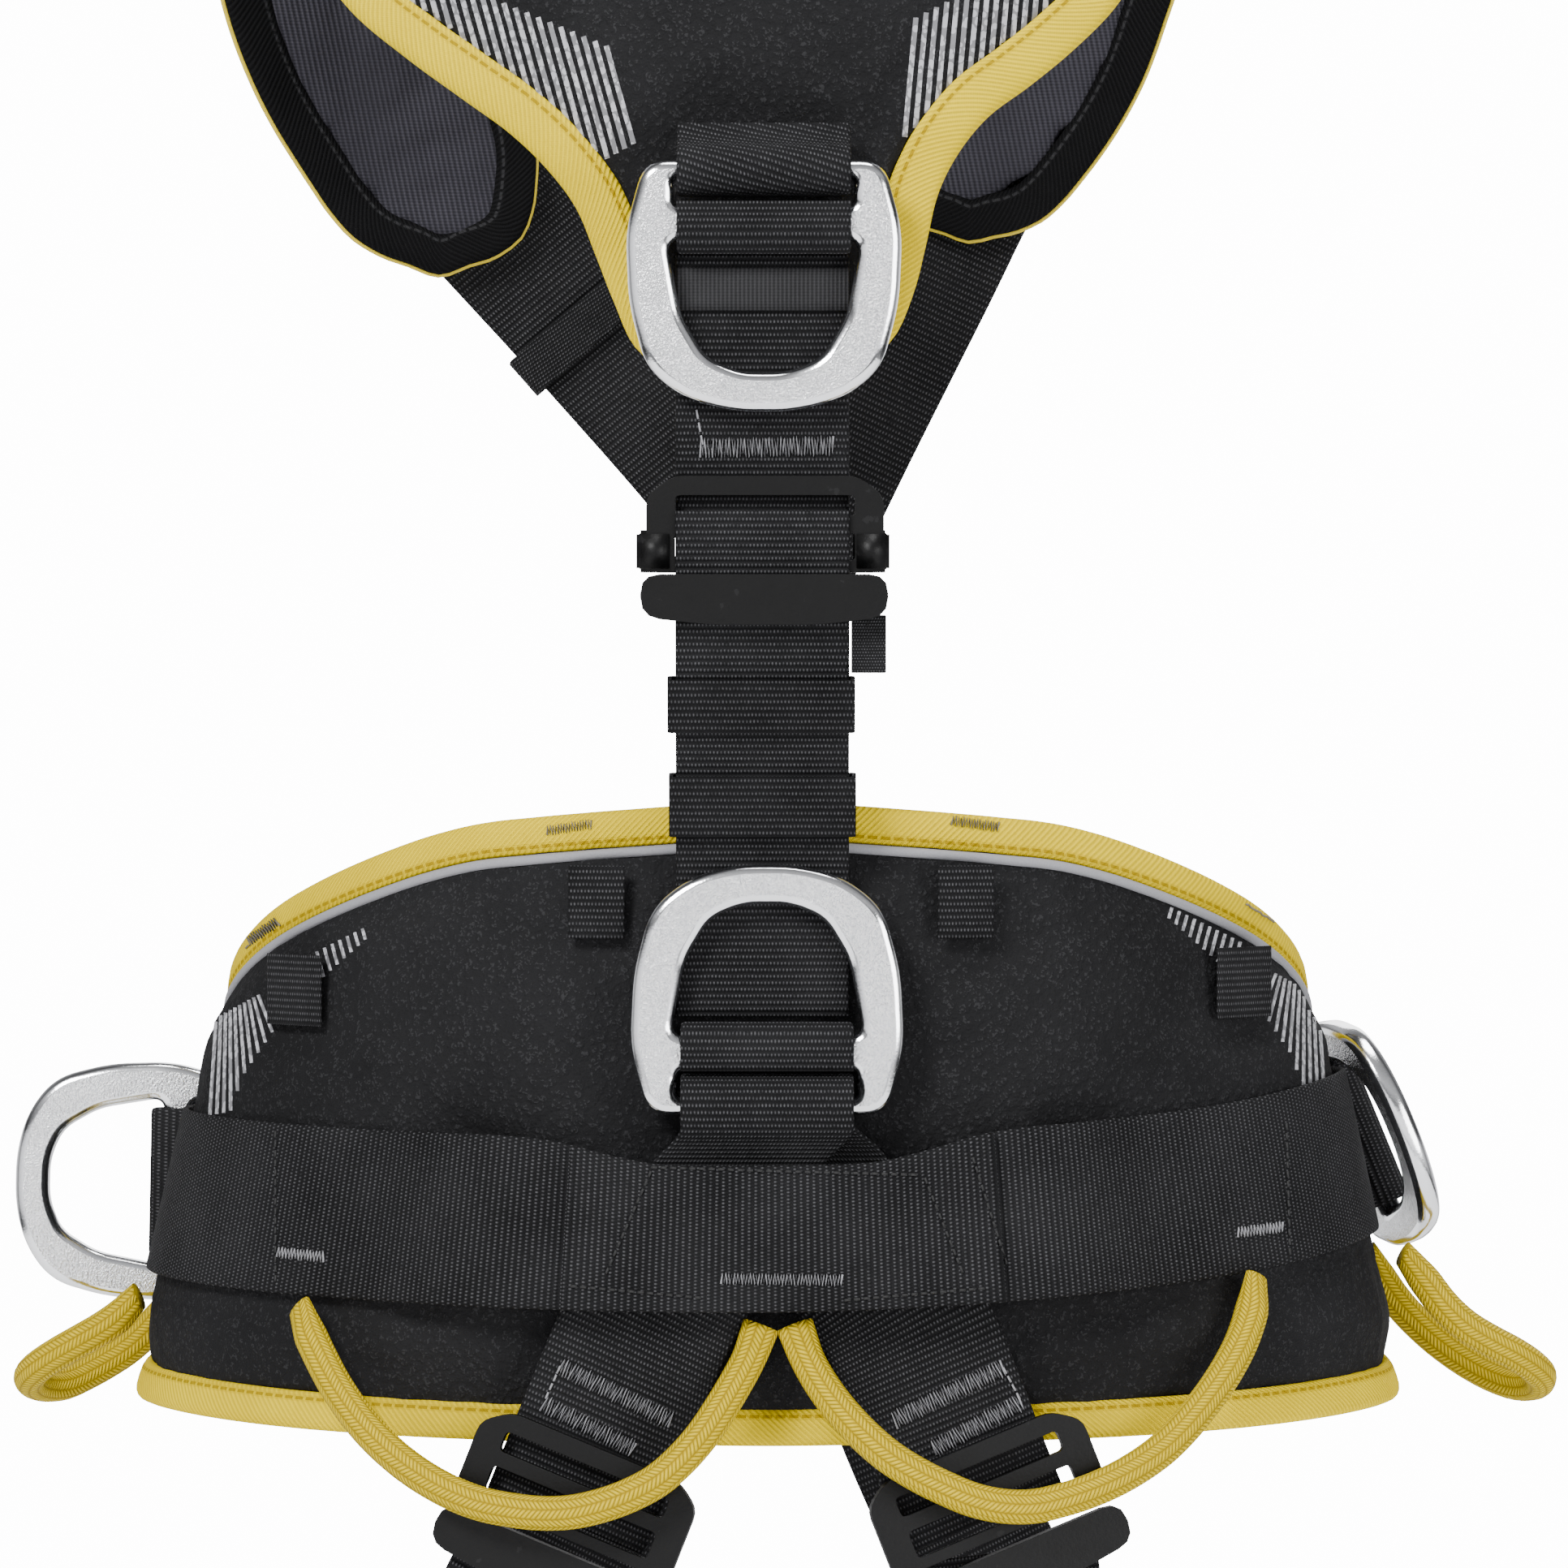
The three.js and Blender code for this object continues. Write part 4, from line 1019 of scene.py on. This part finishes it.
def surface_of(names):
    """A tree of the finished pieces that stand for these nodes."""
    verts, faces = [], []
    graph = bpy.context.evaluated_depsgraph_get()
    for name in names:
        mesh = bpy.data.objects[name + "_look"].evaluated_get(graph).to_mesh()
        start = len(verts)
        verts += [tuple(v.co) for v in mesh.vertices]
        faces += [tuple(start + k for k in face.vertices) for face in mesh.polygons]
    return BVHTree.FromPolygons(verts, faces)


def seen(tree, x, z, lift):
    """The point, lift mm off a surface, and the outward normal at a place as seen from the camera."""
    aim = Vector((BELT_X + x * MM, back_plane, BELT_Z + z * MM)) - camera.location
    spot, normal = tree.ray_cast(camera.location, aim.normalized())[:2]
    if spot is None:
        return None
    if normal.dot(aim) > 0:
        normal = -normal
    return np.array(spot + normal * lift * MM), np.array(normal)


def part_way(a, b, amount, whole):
    """The place that is amount / whole of the way from a to b."""
    return a[0] + (b[0] - a[0]) * amount / whole, a[1] + (b[1] - a[1]) * amount / whole


def between(a, b, step):
    """Places from a to b, at most step apart."""
    count = max(1, math.ceil(math.dist(a, b) / step))
    return [part_way(a, b, k, count) for k in range(count + 1)]


def zigzag(a, b, height, pitch=0.8):
    """A bar tack from a to b: one thread going back and forth across the line."""
    run = np.array(b) - np.array(a)
    length = np.linalg.norm(run)
    across = np.array((-run[1], run[0])) / length * height / 2
    count = int(length / pitch * 2)
    places = []
    for k in range(count + 1):
        uneven = 1 + 0.12 * math.sin(k * 2.4) + 0.08 * math.sin(k * 5.1)
        places.append(tuple(np.array(a) + run * k / count + across * (uneven if k % 2 else -uneven)))
    return places


def sewn(name, nodes, runs, material, slot, radius=THREAD):
    """Threads along runs of places, on the pieces that stand for these nodes."""
    tree = surface_of(nodes)
    grids = []
    for run in runs:
        hits = [seen(tree, x, z, THREAD_LIFT) for x, z in run]
        spots = [hit[0] for hit in hits if hit is not None]
        if len(spots) > 1:
            grids.append(tube(spots, radius, 5))
    piece(name, mesh_of(name, grids), ROOT, material, slot)


def dashes(a, b, stitch=2.4, gap=1.0):
    """A row of separate stitches from a to b."""
    length = math.dist(a, b)
    count = max(1, int(length / (stitch + gap)))
    starts = [k * (stitch + gap) for k in range(count)]
    return [[part_way(a, b, start, length), part_way(a, b, start + stitch, length)] for start in starts]


def along(line, t):
    """The place at share t of a line of places, by their x."""
    x = line[0][0] + (line[-1][0] - line[0][0]) * t
    return x, height_on(line, x)


def stripe(tree, a, b, width):
    """A printed bar from a to b, as a thin ribbon on a surface."""
    run = np.array(b) - np.array(a)
    across = np.array((-run[1], run[0])) / np.linalg.norm(run) * width / 2
    rows = []
    for place in between(a, b, 1):
        pair = [seen(tree, *(np.array(place) + side * across), PRINT_LIFT) for side in (-1, 1)]
        if None not in pair:
            (p, n), (q, m) = pair
            depth = PRINT_THICKNESS * MM
            rows.append([p, q, q - m * depth, p - n * depth])
    if len(rows) < 2:
        return None
    rows = np.array(rows)
    return grid(rows, lengths_along(rows[:, 0]), [0, width, width, 0, 0])


def print_stripes(name, node, bars, width):
    """Printed bars on the piece that stands for a node; bars that miss it are left out."""
    tree = surface_of([node])
    grids = [made for made in (stripe(tree, a, b, width) for a, b in bars) if made is not None]
    piece(name, mesh_of(name, grids), BODY_OF[node], "print", "pad_fabric", smooth=False)


def fan(top, bottom, count):
    """count bars from points along one line of places to points along another."""
    return [(along(top, t), along(bottom, t)) for t in np.linspace(0, 1, count)]


def height_on(line, x):
    """The height of a line of places at x."""
    return float(np.interp(x, *zip(*sorted(line))))


def yoke_bars(side, upper, lower, lean, pitch):
    """Bars down from an upper line of places to just above a lower one, at an even pitch.

    lean is how far a bar goes sideways for each mm down, and side is the way from bar to bar."""
    clear, step, shortest = 0.8, 0.5, 2
    bars = []
    x = upper[0][0]
    while (x - upper[-1][0]) * side < 0:
        top = (x, height_on(upper, x))
        bottom = top
        while bottom[1] > height_on(lower, bottom[0]) + clear:
            bottom = (bottom[0] + lean * step, bottom[1] - step)
        if top[1] - bottom[1] > shortest:
            bars.append((top, bottom))
        x += side * pitch
    return bars


# Yoke prints: a band of bars along each side, above its binding.
LEFT_UPPER = [(-104, 334), (-70.4, 320.5), (-41.5, 308.4)]
LEFT_LOWER = [(-120, 343), (-94.9, 320.5), (-83.3, 311.2), (-63.5, 293.9), (-42, 278.6), (-33, 283.5)]
RIGHT_UPPER = [(90, 342), (47.8, 320.5), (37.6, 315.3)]
RIGHT_LOWER = [(34, 284.6), (39.7, 283.7), (48.9, 295.6), (77.9, 320.5), (100, 341)]
left_bars = yoke_bars(1, LEFT_UPPER, LEFT_LOWER, lean=0.28, pitch=2.96)
right_bars = yoke_bars(-1, RIGHT_UPPER, RIGHT_LOWER, lean=-0.095, pitch=2.7)
print_stripes("yoke_print", "yoke_pad", left_bars + right_bars, width=1.3)

# Waist prints: a short row below the binding and a fan at each side, the right ones a little higher.
HIP_TOP, HIP_BOTTOM = [(-123.1, 69.8), (-105.3, 78.7)], [(-120.9, 61.3), (-104.5, 75.9)]
SIDE_TOP = [(-143.3, 55.5), (-132.4, 61.5)]
SIDE_BOTTOM = [(-145.0, 30.2), (-139.7, 31), (-136.3, 40.6), (-128.7, 51.8)]
hip_bars = fan(HIP_TOP, HIP_BOTTOM, 10) + fan(SIDE_TOP, SIDE_BOTTOM, 10)
RIGHT_RISE = 5.5
other_hip = [((-a[0], a[1] + RIGHT_RISE), (-b[0], b[1] + RIGHT_RISE)) for a, b in hip_bars]
print_stripes("waist_print", "waist_pad", hip_bars + other_hip, width=0.75)

# Bar tacks where the webbing is sewn down: on the back strap, the belt and the leg risers.
BELT = ["waist_band", "waist_centre_patch"]
strap_runs = [zigzag((-17.5, 203.7), (17.3, 204.5), 4.6), *dashes((-18.4, 213.8), (-16.5, 203))]
sewn("back_strap_tack", ["back_strap_upper"], strap_runs, "thread", "webbing")
band_tacks = [((-127.4, -5.5), (-115.2, -6.8), 2.4), ((122.3, -0.4), (134.2, 1.1), 2.4)]
band_tacks.append(((-12, -12.4), (19.6, -12.8), 2.6))
sewn("band_tacks", BELT, [zigzag(*tack) for tack in band_tacks], "thread", "webbing")
RISER_TACKS = {
    "left": [((-53.8, -35.1), (-24.9, -49.3)), ((-58.2, -44.9), (-34.7, -56.8))],
    "right": [((61.4, -35.5), (32.9, -49.3)), ((66.1, -44.4), (43.2, -56.8))],
}
for side, tacks in RISER_TACKS.items():
    runs = [zigzag(a, b, 4.2) for a, b in tacks] + dashes(tacks[0][0], tacks[1][0], 1.8, 0.7)
    sewn("riser_tacks_" + side, ["leg_riser_" + side], runs, "thread", "webbing")

# Small tacks across the top binding, and the dark seams at the ends of the patches on the belt.
BINDING_TACKS = [
    ((-136.1, 74.6), (-127.3, 80.6)), ((-57.3, 104.2), (-45.6, 106)), ((48, 106.8), (60.2, 105.2)),
    ((125.1, 86), (132.7, 81.2)),
]
binding_runs = [zigzag(a, b, 2.2, 0.7) for a, b in BINDING_TACKS]
sewn("binding_tacks", ["waist_binding_top"], binding_runs, "tack_thread", "yellow_tape")
BELT_SEAMS = [
    ((-30.2, 15.6), (-43.1, -13.7)), ((41, 13.9), (52, -13.7)), ((53.5, 19.2), (62.8, -10.1)),
    ((-30.2, 16.5), (40.6, 14.6)), ((-51.1, -14.3), (-14.6, -17.6)), ((20.1, -18), (57.5, -14.8)),
    ((-127.8, 26), (-127.8, -14)), ((135, 28), (136, -10)),
]
seam_runs = [dash for a, b in BELT_SEAMS for dash in dashes(a, b, 1.6, 0.9)]
sewn("patch_stitches", BELT, seam_runs, "dark_thread", "webbing", SEAM_THREAD)


def outward(rows):
    """Half-thickness vectors turned away from the body axis."""
    axis = np.array((BELT_X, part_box("waist_band")[1].y, 0))
    away = (rows[:, 0] - axis) * (1, 1, 0)
    signs = np.sign((rows[:, 2] * away).sum(axis=1))
    return rows[:, 2] * signs[:, None]


def edge_cord(name, rows, across, out, radius, material, slot):
    """A cord of a radius in mm along a binding, at shares of the binding's half width and half thickness."""
    fine = smoothed(rows, 3 * MM)
    spots = fine[:, 0] + fine[:, 1] * across + outward(fine) * out
    piece(name, mesh_of(name, [tube(spots, radius, 10)]), ROOT, material, slot)


# The trims of edges that have no binding: how far in from the edge, and how much thicker than half the pad.
TRIM_INSET = 2 * MM
TRIM_PROUD = 0.9


def trim_lines(node):
    """The two edges of a pad, each a line of places and half the pad's thickness there in mm."""
    found = pad_rows(node)
    for a, b, within_a, within_b in ((0, 11, 1, 10), (5, 6, 4, 7)):
        half = np.linalg.norm(found[:, a] - found[:, b], axis=1).mean() / 2 / MM
        line = (found[:, a] + found[:, b]) / 2
        inward = (found[:, within_a] + found[:, within_b]) / 2 - line
        yield line + inward / np.linalg.norm(inward, axis=1)[:, None] * TRIM_INSET, half


def trim(name, line, half):
    """A slim sewn tape round an edge that has no binding of its own."""
    spots = smoothed(line[:, None], 4 * MM)[:, 0]
    piece(name, mesh_of(name, [tube(spots, half + TRIM_PROUD, 10)]), ROOT, "black_tape", "black_tape")


for side in ("left", "right"):
    for number, edge in enumerate(trim_lines("leg_pad_" + side), 1):
        trim(f"leg_pad_{side}_trim_{number}", *edge)
trim("neckline_trim", *min(trim_lines("yoke_pad"), key=lambda edge: abs(edge[0][:, 0] - BELT_X).mean()))
edge_cord("waist_piping", waist_top, 1.26, 0.75, 1.35, "piping", "pad_fabric")
for side, rows in shoulder_edges.items():
    edge_cord("shoulder_edge_" + side, rows, -1.0, 0, 0.8, "yellow_thread", "yellow_tape")


# ---------------- studio
# Each light's place in metres, its width in metres and its power in watts.
LIGHTS = {
    "key": ((-1.2, -1.8, 1.5), 0.9, 85),
    "fill": ((1.9, -1.6, 0.2), 1.2, 32),
    "top": ((0.2, -0.2, 1.9), 1.0, 34),
    "rear": ((0.4, 2.0, 0.9), 1.6, 22),
}
SIDE_LIGHT = 0.12
ROOM_LIGHT = 0.6
BACKDROP = (24.0, 24.0, 24.0)
# From straight down at 0, over the horizon at 0.5, to straight up at 1, with the brightness there.
LIGHT_BANDS = [
    (0.0, 0.6), (0.3, 0.8), (0.38, 0.1), (0.43, 3.0), (0.57, 3.2), (0.63, 0.1), (0.74, 1.2), (1.0, 0.6),
]
FLOOR_REACH = 1.1
FLOOR_DROP = 0.02
FLOOR_GLOW = 0.35


def area_light(name, place, aim, size, power):
    light = bpy.data.lights.new(name, "AREA")
    light.shape = "DISK"
    light.size = size
    light.energy = power
    holder = in_scene(name, light)
    holder.location = place
    holder.rotation_euler = (Vector(aim) - Vector(place)).to_track_quat("-Z", "Y").to_euler()


def light_bands(graph, height):
    """The colour of the room at each height."""
    ramp = graph.tree.nodes.new("ShaderNodeValToRGB")
    graph.set(ramp.inputs[0], graph.linear(height, 0.5, 0.5))
    stops = ramp.color_ramp.elements
    while len(stops) < len(LIGHT_BANDS):
        stops.new(0.5)
    for stop, (position, value) in zip(stops, LIGHT_BANDS):
        stop.position = position
        stop.color = (value, value, value * 1.02, 1)
    return ramp.outputs[0]


def studio_world():
    """White to the camera; to the object, a room with bright front and back walls and darker bands."""
    world = bpy.data.worlds.new("studio")
    bpy.context.scene.world = world
    world.use_nodes = True
    graph = Graph(world.node_tree)
    _, depth, height = graph.apart(graph.node("ShaderNodeTexCoord").outputs["Generated"])
    dimmed = graph.linear(graph.math("ABSOLUTE", depth), 1 - SIDE_LIGHT, SIDE_LIGHT)
    room = graph.tree.nodes.new("ShaderNodeVectorMath")
    room.operation = "SCALE"
    graph.set(room.inputs[0], light_bands(graph, height))
    graph.set(room.inputs["Scale"], dimmed)
    for_camera = graph.node("ShaderNodeLightPath").outputs["Is Camera Ray"]
    background = graph.tree.nodes["Background"]
    graph.set(background.inputs["Color"], graph.mix(for_camera, room.outputs[0], BACKDROP))
    graph.set(background.inputs["Strength"], ROOM_LIGHT)


def pale_floor(z):
    mesh = bpy.data.meshes.new("floor")
    corners = [(-1, -1), (1, -1), (1, 1), (-1, 1)]
    mesh.from_pydata([(x * FLOOR_REACH, y * FLOOR_REACH, z) for x, y in corners], [], [(0, 1, 2, 3)])
    floor = in_scene("floor", mesh)
    shader = Shader("floor")
    mesh.materials.append(shader.finish((0.88, 0.88, 0.89), 0.6))
    shader.set(shader.surface.inputs["Emission Color"], (1.0, 1.0, 1.0))
    shader.set(shader.surface.inputs["Emission Strength"], FLOOR_GLOW)
    floor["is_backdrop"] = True


middle = (size_before[0] + size_before[1]) / 2
for light_name, (light_place, light_size, light_power) in LIGHTS.items():
    area_light(light_name, light_place, middle, light_size, light_power)
studio_world()
pale_floor(size_before[0].z - FLOOR_DROP)

size_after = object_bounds()
[[list(corner) for corner in size] for size in (size_before, size_after)]
